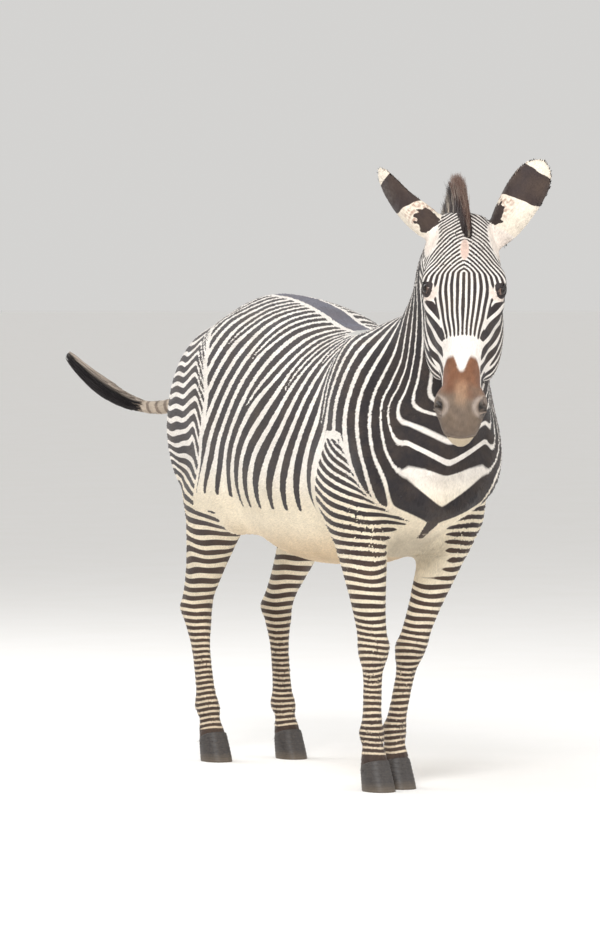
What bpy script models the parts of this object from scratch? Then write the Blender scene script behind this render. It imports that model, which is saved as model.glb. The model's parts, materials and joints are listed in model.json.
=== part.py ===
"""A life-size model of a Grevy's zebra standing at rest, for Blender 4.5.

The animal faces -Y, its left side is +X, and it stands on the floor at z = 0. Lengths are metres.
Flesh is one smooth-blended form: lofts along the trunk, neck, head, legs and tail, with ellipsoids for
the muscles and bones that show. Blender meshes of those forms are joined by a voxel remesh, the points
are settled onto the blended form, and thin cuts part it into head, neck, trunk, legs and tail.
Ears, eyes, hooves, mane and the tail's tuft are pieces of their own.
"""

import math

import bmesh
import bpy
import numpy as np
from mathutils import Matrix, Vector

# ---------------------------------------------------------------- driving sizes
GAP = 0.0003  # clearance between pieces that touch
POLL = np.array([-0.038, -0.967, 1.724])  # top of the head, between the ears
HEAD_LENGTH = 0.675  # poll to upper lip
HEAD_YAW = math.radians(-27)  # the face turns to the animal's right
HEAD_PITCH = math.radians(23.7)  # slope of the face from the vertical
HEAD_ROLL = math.radians(1.2)
EYE_RADIUS = 0.0215
EAR_LENGTH = 0.285  # with the root inside the head
EAR_THICKNESS = 0.007
CORONET_Z = 0.078  # height of the hoof's top edge at the middle of the foot
CORONET_SLOPE = math.radians(20)  # the edge is higher at the toe than at the heel

BODY_VOXEL = 0.013
BODY_TRIANGLES = 4300
HEAD_THINNING = 0.994  # below 1, the head keeps more of its points than the rest

UP = np.array([0, 0, 1.0])


# ---------------------------------------------------------------- smooth-blended forms
def smooth_curve(rows, samples=240):
    """Rows of (t, values...) read as smooth curves: the sampled t, and a column for each value."""
    rows = np.array(rows, float)
    t, values = rows[:, 0], rows[:, 1:]
    slope = np.gradient(values, t, axis=0)
    at = np.linspace(t[0], t[-1], samples)
    i = np.clip(np.searchsorted(t, at, side="right") - 1, 0, len(t) - 2)
    step = (t[i + 1] - t[i])[:, None]
    x = (at - t[i])[:, None] / step
    start, end = values[i], values[i + 1]
    curve = (
        (2 * x**3 - 3 * x**2 + 1) * start
        + (x**3 - 2 * x**2 + x) * step * slope[i]
        + (3 * x**2 - 2 * x**3) * end
        + (x**3 - x**2) * step * slope[i + 1]
    )
    return at, curve


class Loft:
    """Parallel sections on an axis. Rows are (t, centre u, centre v, half width, up, down, squareness)."""

    carve = False

    def __init__(self, rows, origin=(0, 0, 0), axis=(0, 1, 0), side=(1, 0, 0), up=(0, 0, 1), blend=0.05):
        self.origin = np.array(origin, float)
        self.frame = np.array([axis, side, up], float)
        self.t, self.values = smooth_curve(rows)
        self.blend = blend
        reach = self.values[:, 2:5].max(1)[:, None]
        path = self.place(self.t, self.values[:, 0], self.values[:, 1])
        self.low, self.high = (path - reach).min(0), (path + reach).max(0)

    def place(self, t, u, v):
        return self.origin + np.stack([t, u, v], -1) @ self.frame

    def distance(self, points):
        t, u, v = self.frame @ (points - self.origin).T
        inside = np.clip(t, self.t[0], self.t[-1])
        cu, cv, half, up, down, power = (np.interp(inside, self.t, c) for c in self.values.T)
        v = v - cv
        tall = np.where(v > 0, up, down)
        u, v = np.abs(u - cu) / half, np.abs(v) / tall
        k = (u**power + v**power) ** (1 / power) + 1e-9
        slope = np.hypot((u / k) ** (power - 1) / half, (v / k) ** (power - 1) / tall)
        section = (k - 1) / slope
        over = np.abs(t - inside)
        return np.where(over > 0, np.hypot(np.maximum(section, 0), over), section)

    def mesh(self, bm, spacing=0.03, around=28):
        """Rings of points along the axis, joined into a closed tube."""
        count = max(4, int((self.t[-1] - self.t[0]) / spacing))
        angles = np.linspace(0, 2 * math.pi, around, endpoint=False)
        c, s = np.cos(angles), np.sin(angles)
        rings = []
        for t in np.linspace(self.t[0], self.t[-1], count):
            cu, cv, half, up, down, power = (np.interp(t, self.t, x) for x in self.values.T)
            u = cu + half * np.sign(c) * np.abs(c) ** (2 / power)
            v = cv + np.where(s > 0, up, down) * np.sign(s) * np.abs(s) ** (2 / power)
            rings.append(self.place(np.full(around, t), u, v))
        add_tube(bm, rings)


class Mass:
    """An ellipsoid: a muscle or bone that shows, or a hollow where it is carved."""

    def __init__(self, centre, radii, frame=None, blend=0.05, carve=False):
        self.centre, self.radii = np.array(centre, float), np.array(radii, float)
        self.frame = np.eye(3) if frame is None else np.array(frame, float)
        self.blend, self.carve = blend, carve
        reach = self.radii.max()
        self.low, self.high = self.centre - reach, self.centre + reach

    def distance(self, points):
        local = (points - self.centre) @ self.frame.T
        k0 = np.linalg.norm(local / self.radii, axis=1) + 1e-9
        k1 = np.linalg.norm(local / self.radii**2, axis=1) + 1e-9
        return k0 * (k0 - 1) / k1

    def mesh(self, bm):
        turn = Matrix(self.frame.T.tolist()).to_4x4()
        place = Matrix.Translation(self.centre) @ turn @ Matrix.Diagonal((*self.radii, 1))
        bmesh.ops.create_icosphere(bm, subdivisions=3, radius=1, matrix=place)


def blended(points, forms):
    """Distance, near enough, from each point to the blended surface of all the forms; inside is negative."""
    found = np.full(len(points), 1.0)
    for form in forms:
        margin = form.blend + 0.05
        near = np.flatnonzero(((points > form.low - margin) & (points < form.high + margin)).all(1))
        if not len(near):
            continue
        a, b = found[near], form.distance(points[near])
        if form.carve:
            h = np.clip(0.5 - 0.5 * (a + b) / form.blend, 0, 1)
            found[near] = a * (1 - h) - b * h + form.blend * h * (1 - h)
        else:
            h = np.clip(0.5 + 0.5 * (a - b) / form.blend, 0, 1)
            found[near] = a * (1 - h) + b * h - form.blend * h * (1 - h)
    return found


CORNERS = np.array([(1, 1, 1), (1, -1, -1), (-1, 1, -1), (-1, -1, 1)], float)


def settle(points, forms, inset=0.0, rounds=5, reach=0.0008):
    """Moves points along the form's slope until they lie on its surface, or inset below it."""
    for _ in range(rounds):
        found = [blended(points + reach * c, forms) for c in CORNERS]
        slope = sum(c * f[:, None] for c, f in zip(CORNERS, found)) / (4 * reach)
        depth = sum(found) / 4 + inset
        step = depth / np.maximum((slope**2).sum(1), 0.05)
        points = points - np.clip(step, -0.02, 0.02)[:, None] * slope
    return points


def unit(vector):
    return np.array(vector, float) / np.linalg.norm(vector)


def tilt_about_x(degrees):
    a = math.radians(degrees)
    return np.array([(1, 0, 0), (0, math.cos(a), math.sin(a)), (0, -math.sin(a), math.cos(a))])


def both_sides(x, y, z, radii, tilt=0, blend=0.06, carve=False):
    return [Mass((side * x, y, z), radii, tilt_about_x(tilt), blend, carve) for side in (1, -1)]


# ---------------------------------------------------------------- trunk
TRUNK_ROWS = [  # y, 0, centre z, half width, up, down, squareness
    (-0.74, 0, 1.020, 0.135, 0.160, 0.170, 2.0),
    (-0.66, 0, 1.060, 0.180, 0.250, 0.270, 2.0),
    (-0.55, 0, 1.070, 0.210, 0.330, 0.335, 2.0),
    (-0.44, 0, 1.070, 0.228, 0.340, 0.375, 1.95),
    (-0.33, 0, 1.060, 0.248, 0.328, 0.388, 2.0),
    (-0.22, 0, 1.050, 0.268, 0.328, 0.393, 2.1),
    (-0.12, 0, 1.050, 0.284, 0.342, 0.396, 2.15),
    (0.05, 0, 1.060, 0.301, 0.380, 0.408, 2.15),
    (0.20, 0, 1.080, 0.301, 0.387, 0.408, 2.1),
    (0.32, 0, 1.110, 0.290, 0.369, 0.388, 2.0),
    (0.44, 0, 1.150, 0.272, 0.330, 0.330, 1.9),
    (0.56, 0, 1.170, 0.245, 0.280, 0.270, 1.9),
    (0.66, 0, 1.170, 0.208, 0.235, 0.210, 1.9),
    (0.74, 0, 1.150, 0.150, 0.180, 0.170, 2.0),
]


def trunk_forms():
    forms = [Loft(TRUNK_ROWS, blend=0.04)]
    forms += both_sides(0.135, -0.52, 1.115, (0.105, 0.150, 0.262), tilt=-22)  # shoulder blade
    forms += both_sides(0.140, -0.65, 0.990, (0.085, 0.095, 0.125))  # point of the shoulder
    forms += both_sides(0.062, -0.665, 0.930, (0.080, 0.085, 0.105), blend=0.06)  # breast
    forms += both_sides(0.180, -0.43, 0.925, (0.075, 0.120, 0.140), blend=0.07)  # triceps
    forms += both_sides(0.165, 0.40, 1.110, (0.130, 0.250, 0.280), tilt=18, blend=0.08)  # haunch
    forms += both_sides(0.150, 0.625, 1.080, (0.128, 0.172, 0.270), tilt=10, blend=0.07)  # buttock
    forms += both_sides(0.185, 0.33, 0.860, (0.080, 0.110, 0.130), blend=0.08)  # stifle
    forms += both_sides(0.075, 0.60, 0.935, (0.090, 0.140, 0.175), blend=0.06)  # inner thigh
    return forms


# ---------------------------------------------------------------- neck
NECK_BASE = np.array([0.0, -0.520, 1.130])
NECK_AXIS = unit((-0.03, -0.585, 0.81))
NECK_SIDE = unit(np.cross(NECK_AXIS, (0, 0.81, 0.585)))
NECK_CREST = np.cross(NECK_SIDE, NECK_AXIS)
NECK_ROWS = [  # t, towards the right, towards the crest, half width, crest side, throat side, squareness
    (-0.05, 0.000, 0.000, 0.180, 0.190, 0.220, 2.0),
    (0.00, -0.004, 0.000, 0.195, 0.215, 0.280, 2.0),
    (0.12, -0.018, 0.000, 0.172, 0.190, 0.270, 2.0),
    (0.26, -0.030, 0.000, 0.142, 0.150, 0.234, 2.0),
    (0.40, -0.025, 0.005, 0.114, 0.126, 0.196, 2.0),
    (0.52, -0.002, 0.008, 0.096, 0.118, 0.162, 2.0),
    (0.62, 0.008, 0.005, 0.082, 0.094, 0.134, 2.0),
    (0.70, 0.015, 0.000, 0.060, 0.060, 0.090, 2.0),
]


def neck_forms():
    side = NECK_SIDE * np.sign(-NECK_SIDE[0])  # towards the animal's right
    return [Loft(NECK_ROWS, NECK_BASE, NECK_AXIS, side, NECK_CREST, blend=0.10)]


# ---------------------------------------------------------------- head
def head_frame():
    """Unit vectors down the face, to the head's left, and out of the forehead."""
    ahead = np.array([math.sin(HEAD_YAW), -math.cos(HEAD_YAW), 0])
    left = np.array([math.cos(HEAD_YAW), math.sin(HEAD_YAW), 0])
    down_face = ahead * math.sin(HEAD_PITCH) - UP * math.cos(HEAD_PITCH)
    out = ahead * math.cos(HEAD_PITCH) + UP * math.sin(HEAD_PITCH)
    c, s = math.cos(HEAD_ROLL), math.sin(HEAD_ROLL)
    return np.array([down_face * c - left * s, left * c + down_face * s, out])


HEAD = head_frame()
HEAD_SCALE = HEAD_LENGTH / 0.665  # the sizes below are for a head 0.665 long
SKULL_ROWS = [  # t, side, centre v, half width, up, down, squareness
    (-0.020, 0, -0.075, 0.058, 0.058, 0.075, 2.0),
    (0.030, 0, -0.085, 0.088, 0.083, 0.090, 2.1),
    (0.090, 0, -0.095, 0.103, 0.100, 0.100, 2.2),
    (0.150, 0, -0.100, 0.108, 0.109, 0.110, 2.15),
    (0.200, 0, -0.100, 0.106, 0.109, 0.115, 2.15),
    (0.260, 0, -0.098, 0.095, 0.105, 0.110, 2.15),
    (0.330, 0, -0.095, 0.080, 0.099, 0.100, 2.3),
    (0.410, 0, -0.088, 0.066, 0.088, 0.085, 2.2),
    (0.490, 0, -0.080, 0.058, 0.077, 0.070, 2.2),
    (0.555, 0, -0.076, 0.060, 0.069, 0.060, 2.2),
    (0.605, 0, -0.077, 0.056, 0.058, 0.055, 2.2),
    (0.645, 0, -0.082, 0.044, 0.038, 0.042, 2.1),
]
JAW_ROWS = [
    (0.090, 0, -0.165, 0.064, 0.060, 0.062, 2.0),
    (0.180, 0, -0.178, 0.084, 0.070, 0.084, 2.1),
    (0.270, 0, -0.174, 0.094, 0.070, 0.088, 2.1),
    (0.360, 0, -0.160, 0.088, 0.062, 0.078, 2.1),
    (0.450, 0, -0.142, 0.062, 0.052, 0.052, 2.1),
    (0.530, 0, -0.130, 0.043, 0.040, 0.033, 2.1),
    (0.585, 0, -0.126, 0.041, 0.035, 0.033, 2.1),
    (0.620, 0, -0.120, 0.033, 0.026, 0.025, 2.0),
]
EYE = (0.207, 0.100, -0.049)  # down the face, aside, and below the forehead's line


def on_head(t, u, v):
    """A place on the head: t down the face from the poll, u to its left, v out of the forehead."""
    return POLL + HEAD_SCALE * np.array([t, u, v]) @ HEAD


def head_mass(t, u, v, radii, turn=0, blend=0.03, carve=False):
    """An ellipsoid and its mirror image on the head; turn leans its long axis outwards."""
    found = []
    for side in (1, -1) if u else (1,):
        a = math.radians(turn * side)
        turned = np.array([(math.cos(a), math.sin(a), 0), (-math.sin(a), math.cos(a), 0), (0, 0, 1)])
        radii_here = HEAD_SCALE * np.array(radii)
        found.append(Mass(on_head(t, side * u, v), radii_here, turned @ HEAD, blend, carve))
    return found


def head_forms():
    skull = [[HEAD_SCALE * x for x in row[:6]] + [row[6]] for row in SKULL_ROWS]
    jaw = [[HEAD_SCALE * x for x in row[:6]] + [row[6]] for row in JAW_ROWS]
    forms = [Loft(skull, POLL, *HEAD, blend=0.06)]
    forms += [Loft(jaw, POLL, *HEAD, blend=0.03)]
    forms += head_mass(0.020, 0.000, -0.070, (0.050, 0.055, 0.055), blend=0.04)  # poll
    forms += head_mass(0.285, 0.068, -0.180, (0.150, 0.050, 0.092), blend=0.03)  # cheek
    forms += head_mass(0.172, 0.097, -0.052, (0.045, 0.027, 0.028), turn=12, blend=0.025)  # brow
    forms += head_mass(0.228, 0.092, -0.084, (0.050, 0.027, 0.034), blend=0.025)  # eye socket
    forms += head_mass(0.310, 0.072, -0.080, (0.090, 0.013, 0.018), turn=-12, blend=0.03)  # face ridge
    forms += head_mass(0.562, 0.051, -0.048, (0.048, 0.028, 0.036), turn=8, blend=0.022)  # nostril wing
    forms += head_mass(0.612, 0.000, -0.070, (0.048, 0.056, 0.044), blend=0.025)  # upper lip
    forms += head_mass(0.628, 0.000, -0.118, (0.042, 0.036, 0.032), blend=0.020)  # chin
    forms += head_mass(0.576, 0.071, -0.036, (0.024, 0.010, 0.012), turn=20, blend=0.008, carve=True)
    return forms


# ---------------------------------------------------------------- legs
FORE_SECTIONS = [  # joint number, half width, fore, aft
    (-0.25, 0.050, 0.080, 0.080),
    (0.00, 0.080, 0.108, 0.112),
    (0.25, 0.072, 0.092, 0.088),
    (0.50, 0.060, 0.073, 0.067),
    (0.75, 0.049, 0.056, 0.052),
    (0.90, 0.047, 0.051, 0.046),
    (1.00, 0.050, 0.054, 0.048),
    (1.10, 0.046, 0.047, 0.046),
    (1.25, 0.034, 0.034, 0.039),
    (1.55, 0.029, 0.029, 0.037),
    (1.82, 0.031, 0.031, 0.040),
    (2.00, 0.039, 0.039, 0.047),
    (2.35, 0.034, 0.035, 0.037),
    (2.75, 0.040, 0.042, 0.040),
    (3.20, 0.045, 0.050, 0.045),
]
HIND_SECTIONS = [
    (-0.25, 0.060, 0.110, 0.130),
    (0.00, 0.096, 0.165, 0.185),
    (0.30, 0.084, 0.128, 0.128),
    (0.58, 0.064, 0.092, 0.092),
    (0.78, 0.052, 0.070, 0.080),
    (0.90, 0.047, 0.060, 0.080),
    (1.00, 0.050, 0.060, 0.070),
    (1.14, 0.043, 0.049, 0.052),
    (1.34, 0.032, 0.037, 0.042),
    (1.62, 0.029, 0.032, 0.040),
    (1.85, 0.032, 0.034, 0.043),
    (2.00, 0.040, 0.041, 0.050),
    (2.35, 0.034, 0.036, 0.038),
    (2.75, 0.040, 0.042, 0.040),
    (3.20, 0.045, 0.050, 0.045),
]
# Each leg's joints, as x, y and z: elbow or stifle, knee or hock, fetlock, coronet.
LEGS = {
    "foreleg_right": [
        (-0.160, -0.490, 0.80),
        (-0.127, -0.525, 0.43),
        (-0.134, -0.530, 0.165),
        (-0.140, -0.560, CORONET_Z),
    ],
    "foreleg_left": [
        (0.170, -0.470, 0.80),
        (0.012, -0.500, 0.43),
        (-0.032, -0.472, 0.165),
        (-0.039, -0.495, CORONET_Z),
    ],
    "hindleg_right": [
        (-0.178, 0.460, 0.86),
        (-0.156, 0.715, 0.48),
        (-0.148, 0.645, 0.165),
        (-0.147, 0.610, CORONET_Z),
    ],
    "hindleg_left": [
        (0.165, 0.450, 0.86),
        (0.126, 0.715, 0.48),
        (0.114, 0.640, 0.165),
        (0.112, 0.605, CORONET_Z),
    ],
}


def leg_rows(name):
    """Rows for a leg's loft, from its joints and the sections between them."""
    sections = HIND_SECTIONS if "hind" in name else FORE_SECTIONS
    joints = np.array(LEGS[name])
    numbers = np.arange(len(joints))
    rows = []
    for number, half, fore, aft in sections:
        past = max(-number, 0) * (joints[0] - joints[1]) + max(number - 3, 0) * (joints[3] - joints[2])
        x, y, z = np.array([np.interp(number, numbers, j) for j in joints.T]) + past
        rows.append((z, x, -y, half, fore, aft, 2.0))
    return rows[::-1]


def leg_form(name):
    blend = 0.08 if "hind" in name else 0.06
    return Loft(leg_rows(name), axis=(0, 0, 1), side=(1, 0, 0), up=(0, -1, 0), blend=blend)


def hoof_rows(foot):
    """Rows for a hoof's loft, from the sole up past the coronet."""
    x, y, z = foot
    return [
        (0.000, x, -y + 0.026, 0.047, 0.066, 0.052, 2.3),
        (0.030, x, -y + 0.017, 0.046, 0.060, 0.049, 2.3),
        (z, x, -y + 0.002, 0.044, 0.051, 0.044, 2.1),
        (z + 0.045, x, -y - 0.008, 0.042, 0.046, 0.041, 2.0),
    ]


# ---------------------------------------------------------------- tail
TAIL_POINTS = [  # x, y, z and radius, from the root to the end of the dock
    (0.000, 0.660, 1.385, 0.050),
    (-0.006, 0.775, 1.310, 0.036),
    (-0.040, 0.860, 1.200, 0.028),
    (-0.110, 0.935, 1.125, 0.024),
    (-0.205, 1.000, 1.110, 0.020),
    (-0.300, 1.062, 1.155, 0.016),
]
TUFT_POINTS = [
    (-0.205, 1.000, 1.110, 0.021),
    (-0.255, 1.032, 1.128, 0.030),
    (-0.305, 1.064, 1.160, 0.035),
    (-0.350, 1.092, 1.198, 0.031),
    (-0.385, 1.112, 1.236, 0.019),
    (-0.408, 1.125, 1.266, 0.004),
]


def curve_points(rows, samples):
    """Evenly numbered samples of a smooth curve through rows of values."""
    return smooth_curve([(i, *row) for i, row in enumerate(rows)], samples)[1]


def tail_forms():
    return [Mass(p[:3], (p[3],) * 3, blend=0.012) for p in curve_points(TAIL_POINTS, 40)]


def flesh_forms():
    forms = trunk_forms() + neck_forms() + head_forms()
    forms += [leg_form(name) for name in LEGS]
    return forms + tail_forms()


# ---------------------------------------------------------------- ears and mane
EAR_ROWS = [  # share of the length, half width, depth, half angle of the wrap
    (0.00, 0.040, 0.036, 165),
    (0.14, 0.045, 0.042, 150),
    (0.30, 0.053, 0.045, 125),
    (0.48, 0.060, 0.040, 105),
    (0.66, 0.063, 0.031, 92),
    (0.82, 0.059, 0.021, 84),
    (0.94, 0.041, 0.012, 80),
    (1.00, 0.014, 0.006, 80),
]
# Root on the head, then the way each ear points and the way its back faces, across and up the face.
EARS = {
    "ear_left": ((0.048, 0.084, -0.075), (0.51, 0.86, -0.10), (0.10, 0.10, 1.0)),
    "ear_right": ((0.048, -0.072, -0.075), (-0.66, 0.76, -0.10), (-0.86, -0.45, 0.50)),
}


def ear_frame(name):
    root, way, back = EARS[name]
    _, left, _ = HEAD
    ahead = unit(np.cross(left, UP))
    basis = np.array([left, UP, ahead])
    way = unit(np.array(way) @ basis)
    back = np.array(back) @ basis
    back = unit(back - way * (back @ way))
    return on_head(*root), way, np.cross(way, back), back


def ear_rings(name, stations=11, around=9, thickness=EAR_THICKNESS):
    """Rings round an ear's wall: along its back, then along its hollow side."""
    root, way, side, back = ear_frame(name)
    share, values = smooth_curve(EAR_ROWS, stations)
    rings = []
    for s, (half, depth, wrap) in zip(share, values):
        a = np.radians(np.linspace(-wrap, wrap, around))
        wall = thickness * (1 - 0.45 * s)
        inner = np.clip(1 - wall / np.array([half, depth]), 0.25, 1)
        bow = 0.02 * math.sin(math.pi * s)
        middle = root + way * (EAR_LENGTH * s) + back * (bow - 0.5 * depth)
        outer_line = [middle + side * (half * math.sin(x)) + back * (depth * math.cos(x)) for x in a]
        inner_line = [
            middle + side * (half * inner[0] * math.sin(x)) + back * (depth * inner[1] * math.cos(x))
            for x in a[::-1] * 0.97
        ]
        rings.append(np.array(outer_line + inner_line))
    return rings


MANE_ROWS = [  # x, y, z of the crest, height of the hair, lean back in degrees, half thickness
    (0.004, -0.450, 1.415, 0.008, 5, 0.008),
    (0.006, -0.515, 1.432, 0.018, 20, 0.013),
    (0.006, -0.575, 1.475, 0.030, 32, 0.016),
    (0.002, -0.645, 1.545, 0.048, 38, 0.017),
    (-0.006, -0.722, 1.618, 0.064, 38, 0.018),
    (-0.015, -0.790, 1.680, 0.078, 36, 0.020),
    (-0.024, -0.850, 1.712, 0.105, 28, 0.022),
    (-0.031, -0.905, 1.724, 0.145, 19, 0.024),
    (-0.037, -0.950, 1.722, 0.140, 10, 0.024),
    (-0.043, -0.985, 1.705, 0.085, 2, 0.019),
    (-0.048, -1.008, 1.688, 0.015, -5, 0.010),
]


def mane_rings(stations=18):
    """Rings across the mane: down its left side from the ridge, and up its right."""
    rows = curve_points(MANE_ROWS, stations)
    middle = rows[:, :3]
    along = np.gradient(middle, axis=0)
    rings = []
    for point, way, (height, lean, half) in zip(middle, along, rows[:, 3:]):
        lean = math.radians(lean)
        flat = unit((way[0], way[1], 0))
        upward = unit(UP * math.cos(lean) - flat * math.sin(lean))
        side = unit(np.cross(upward, flat))
        levels = [(1.0, 0.22), (0.7, 0.62), (0.3, 0.95), (0.0, 1.0)]
        left = [point + upward * (height * h) + side * (half * w) for h, w in levels]
        right = [point + upward * (height * h) - side * (half * w) for h, w in levels]
        sunk = [point - upward * 0.030 + side * half, point - upward * 0.030 - side * half]
        rings.append(np.array(left + sunk + right[::-1]))
    return rings


def tuft_rings(rows, samples=12, around=14):
    """Rings along the tail's tuft."""
    found = curve_points(rows, samples)
    along = np.gradient(found[:, :3], axis=0)
    rings = []
    for (x, y, z, radius), way in zip(found, along):
        way = unit(way)
        side = unit(np.cross(way, UP))
        top = np.cross(side, way)
        a = np.linspace(0, 2 * math.pi, around, endpoint=False)[:, None]
        rings.append(np.array((x, y, z)) + radius * (np.cos(a) * side + np.sin(a) * top))
    return rings


# ---------------------------------------------------------------- Blender objects
def add_tube(bm, rings):
    """Joins rings of points into a closed tube with flat ends."""
    made = [[bm.verts.new(p) for p in ring] for ring in rings]
    count = len(made[0])
    for a, b in zip(made, made[1:]):
        for i in range(count):
            j = (i + 1) % count
            bm.faces.new((a[i], a[j], b[j], b[i]))
    bm.faces.new(made[0][::-1])
    bm.faces.new(made[-1])


def new_object(name, content):
    """A scene object from a mesh, or from a bmesh, which is used up."""
    mesh = content
    if isinstance(content, bmesh.types.BMesh):
        bmesh.ops.recalc_face_normals(content, faces=content.faces)
        mesh = bpy.data.meshes.new(name)
        content.to_mesh(mesh)
        content.free()
    obj = bpy.data.objects.new(name, mesh)
    bpy.context.scene.collection.objects.link(obj)
    return obj


def tube_object(name, rings):
    bm = bmesh.new()
    add_tube(bm, rings)
    return new_object(name, bm)


def bake(obj):
    """Gives the object the mesh that its modifiers make, and drops them."""
    graph = bpy.context.evaluated_depsgraph_get()
    mesh = bpy.data.meshes.new_from_object(obj.evaluated_get(graph))
    obj.modifiers.clear()
    obj.data = mesh


def remove_shape(obj, cutters):
    """Cuts other solids out of one, and deletes those solids."""
    for cutter in cutters:
        cut = obj.modifiers.new("cut", "BOOLEAN")
        cut.operation = "DIFFERENCE"
        cut.solver = "EXACT"
        cut.object = cutter
        bpy.context.view_layer.update()
        bake(obj)
        bpy.data.objects.remove(cutter)


def points_of(mesh):
    found = np.empty(len(mesh.vertices) * 3)
    mesh.vertices.foreach_get("co", found)
    return found.reshape(-1, 3)


def set_points(mesh, points):
    mesh.vertices.foreach_set("co", np.asarray(points, np.float32).ravel())
    mesh.update()


def swollen(obj, amount):
    """A copy of a solid, a little larger all round."""
    copy = new_object(obj.name + "_room", obj.data.copy())
    normals = np.array([v.normal for v in copy.data.vertices])
    set_points(copy.data, points_of(copy.data) + normals * amount)
    return copy


def whole_body():
    """One closed mesh of all the flesh, its points on the blended form."""
    forms = flesh_forms()
    bm = bmesh.new()
    for form in forms:
        if not form.carve:
            form.mesh(bm)
    body = new_object("body", bm)
    remesh = body.modifiers.new("join", "REMESH")
    remesh.mode = "VOXEL"
    remesh.voxel_size = BODY_VOXEL
    bpy.context.view_layer.update()
    bake(body)
    set_points(body.data, settle(points_of(body.data), forms))
    group = body.vertex_groups.new(name="thinned")
    points = points_of(body.data)
    head = (points - POLL) @ HEAD.T
    on_face = (head[:, 2] > -0.24) & (head[:, 0] < 0.70) & (points[:, 2] > 1.0)
    group.add([int(i) for i in np.flatnonzero(~on_face)], 1.0, "REPLACE")
    group.add([int(i) for i in np.flatnonzero(on_face)], HEAD_THINNING, "REPLACE")
    fewer = body.modifiers.new("fewer", "DECIMATE")
    triangles = sum(len(p.vertices) - 2 for p in body.data.polygons)
    fewer.ratio = BODY_TRIANGLES / triangles
    fewer.use_collapse_triangulate = True
    fewer.vertex_group = "thinned"
    fewer.vertex_group_factor = 1.0
    bpy.context.view_layer.update()
    bake(body)
    body.vertex_groups.clear()
    set_points(body.data, settle(points_of(body.data), forms, rounds=2))
    return body


# ---------------------------------------------------------------- parting the flesh
def disc_cutter(centre, facing, radius):
    """A thin disc that parts what it crosses."""
    facing = Vector(facing).normalized()
    bm = bmesh.new()
    place = Matrix.Translation(Vector(centre)) @ facing.to_track_quat("Z", "Y").to_matrix().to_4x4()
    bmesh.ops.create_cone(
        bm, cap_ends=True, segments=16, radius1=radius, radius2=radius, depth=GAP, matrix=place
    )
    return new_object("disc", bm)


def dome_cutter(centre, way, radii, height, segments=14, steps=4):
    """A thin-walled dome, open below, that parts a leg from the trunk; way is the leg's axis, upwards."""
    way = np.array(way, float)
    shape = []
    for inset in (0.0, GAP):
        angles = np.linspace(0, 0.5 * math.pi, steps + 1)[:-1]
        turn = np.linspace(0, 2 * math.pi, segments, endpoint=False)
        rings = []
        for a in angles:
            across = np.array([np.cos(turn) * (radii[0] - inset), np.sin(turn) * (radii[1] - inset)])
            ring = np.array(centre) + way * (height - inset) * math.sin(a)
            rings.append(ring + np.column_stack([*(across * math.cos(a)), np.zeros(segments)]))
        shape.append((rings, np.array(centre) + way * (height - inset)))
    bm = bmesh.new()
    lines = []
    for rings, top in shape:
        made = [[bm.verts.new(p) for p in ring] for ring in rings]
        peak = bm.verts.new(top)
        for i in range(segments):
            j = (i + 1) % segments
            for a, b in zip(made, made[1:]):
                bm.faces.new((a[i], a[j], b[j], b[i]))
            bm.faces.new((made[-1][i], made[-1][j], peak))
        lines.append(made[0])
    for i in range(segments):
        j = (i + 1) % segments
        bm.faces.new((lines[0][i], lines[0][j], lines[1][j], lines[1][i]))
    return new_object("dome", bm)


def loose_parts(obj):
    """The separate closed bodies of an object, each as a mesh and its middle."""
    bm = bmesh.new()
    bm.from_mesh(obj.data)
    left = set(bm.verts)
    found = []
    while left:
        seed = left.pop()
        island, front = {seed}, [seed]
        while front:
            vertex = front.pop()
            for edge in vertex.link_edges:
                other = edge.other_vert(vertex)
                if other in left:
                    left.discard(other)
                    island.add(other)
                    front.append(other)
        found.append(sorted(v.index for v in island))
    bm.free()
    meshes = []
    for indices in found:
        part = bmesh.new()
        part.from_mesh(obj.data)
        kept = set(indices)
        bmesh.ops.delete(part, geom=[v for v in part.verts if v.index not in kept], context="VERTS")
        mesh = bpy.data.meshes.new("part")
        part.to_mesh(mesh)
        part.free()
        meshes.append(mesh)
    return meshes


def foot_plane(foot):
    """The plane of the hoof's top edge, facing up: a place on it and its normal."""
    return Vector(foot), Vector((0, math.sin(CORONET_SLOPE), math.cos(CORONET_SLOPE)))


def slice_away(obj, place, normal, above):
    """Cuts an object flat at a plane and closes it, dropping what is above or below."""
    bm = bmesh.new()
    bm.from_mesh(obj.data)
    geom = bm.verts[:] + bm.edges[:] + bm.faces[:]
    cut = bmesh.ops.bisect_plane(
        bm, geom=geom, plane_co=place, plane_no=normal, clear_outer=above, clear_inner=not above
    )
    edges = [e for e in cut["geom_cut"] if isinstance(e, bmesh.types.BMEdge)]
    bmesh.ops.contextual_create(bm, geom=edges)
    bmesh.ops.recalc_face_normals(bm, faces=bm.faces)
    bm.to_mesh(obj.data)
    bm.free()


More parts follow.
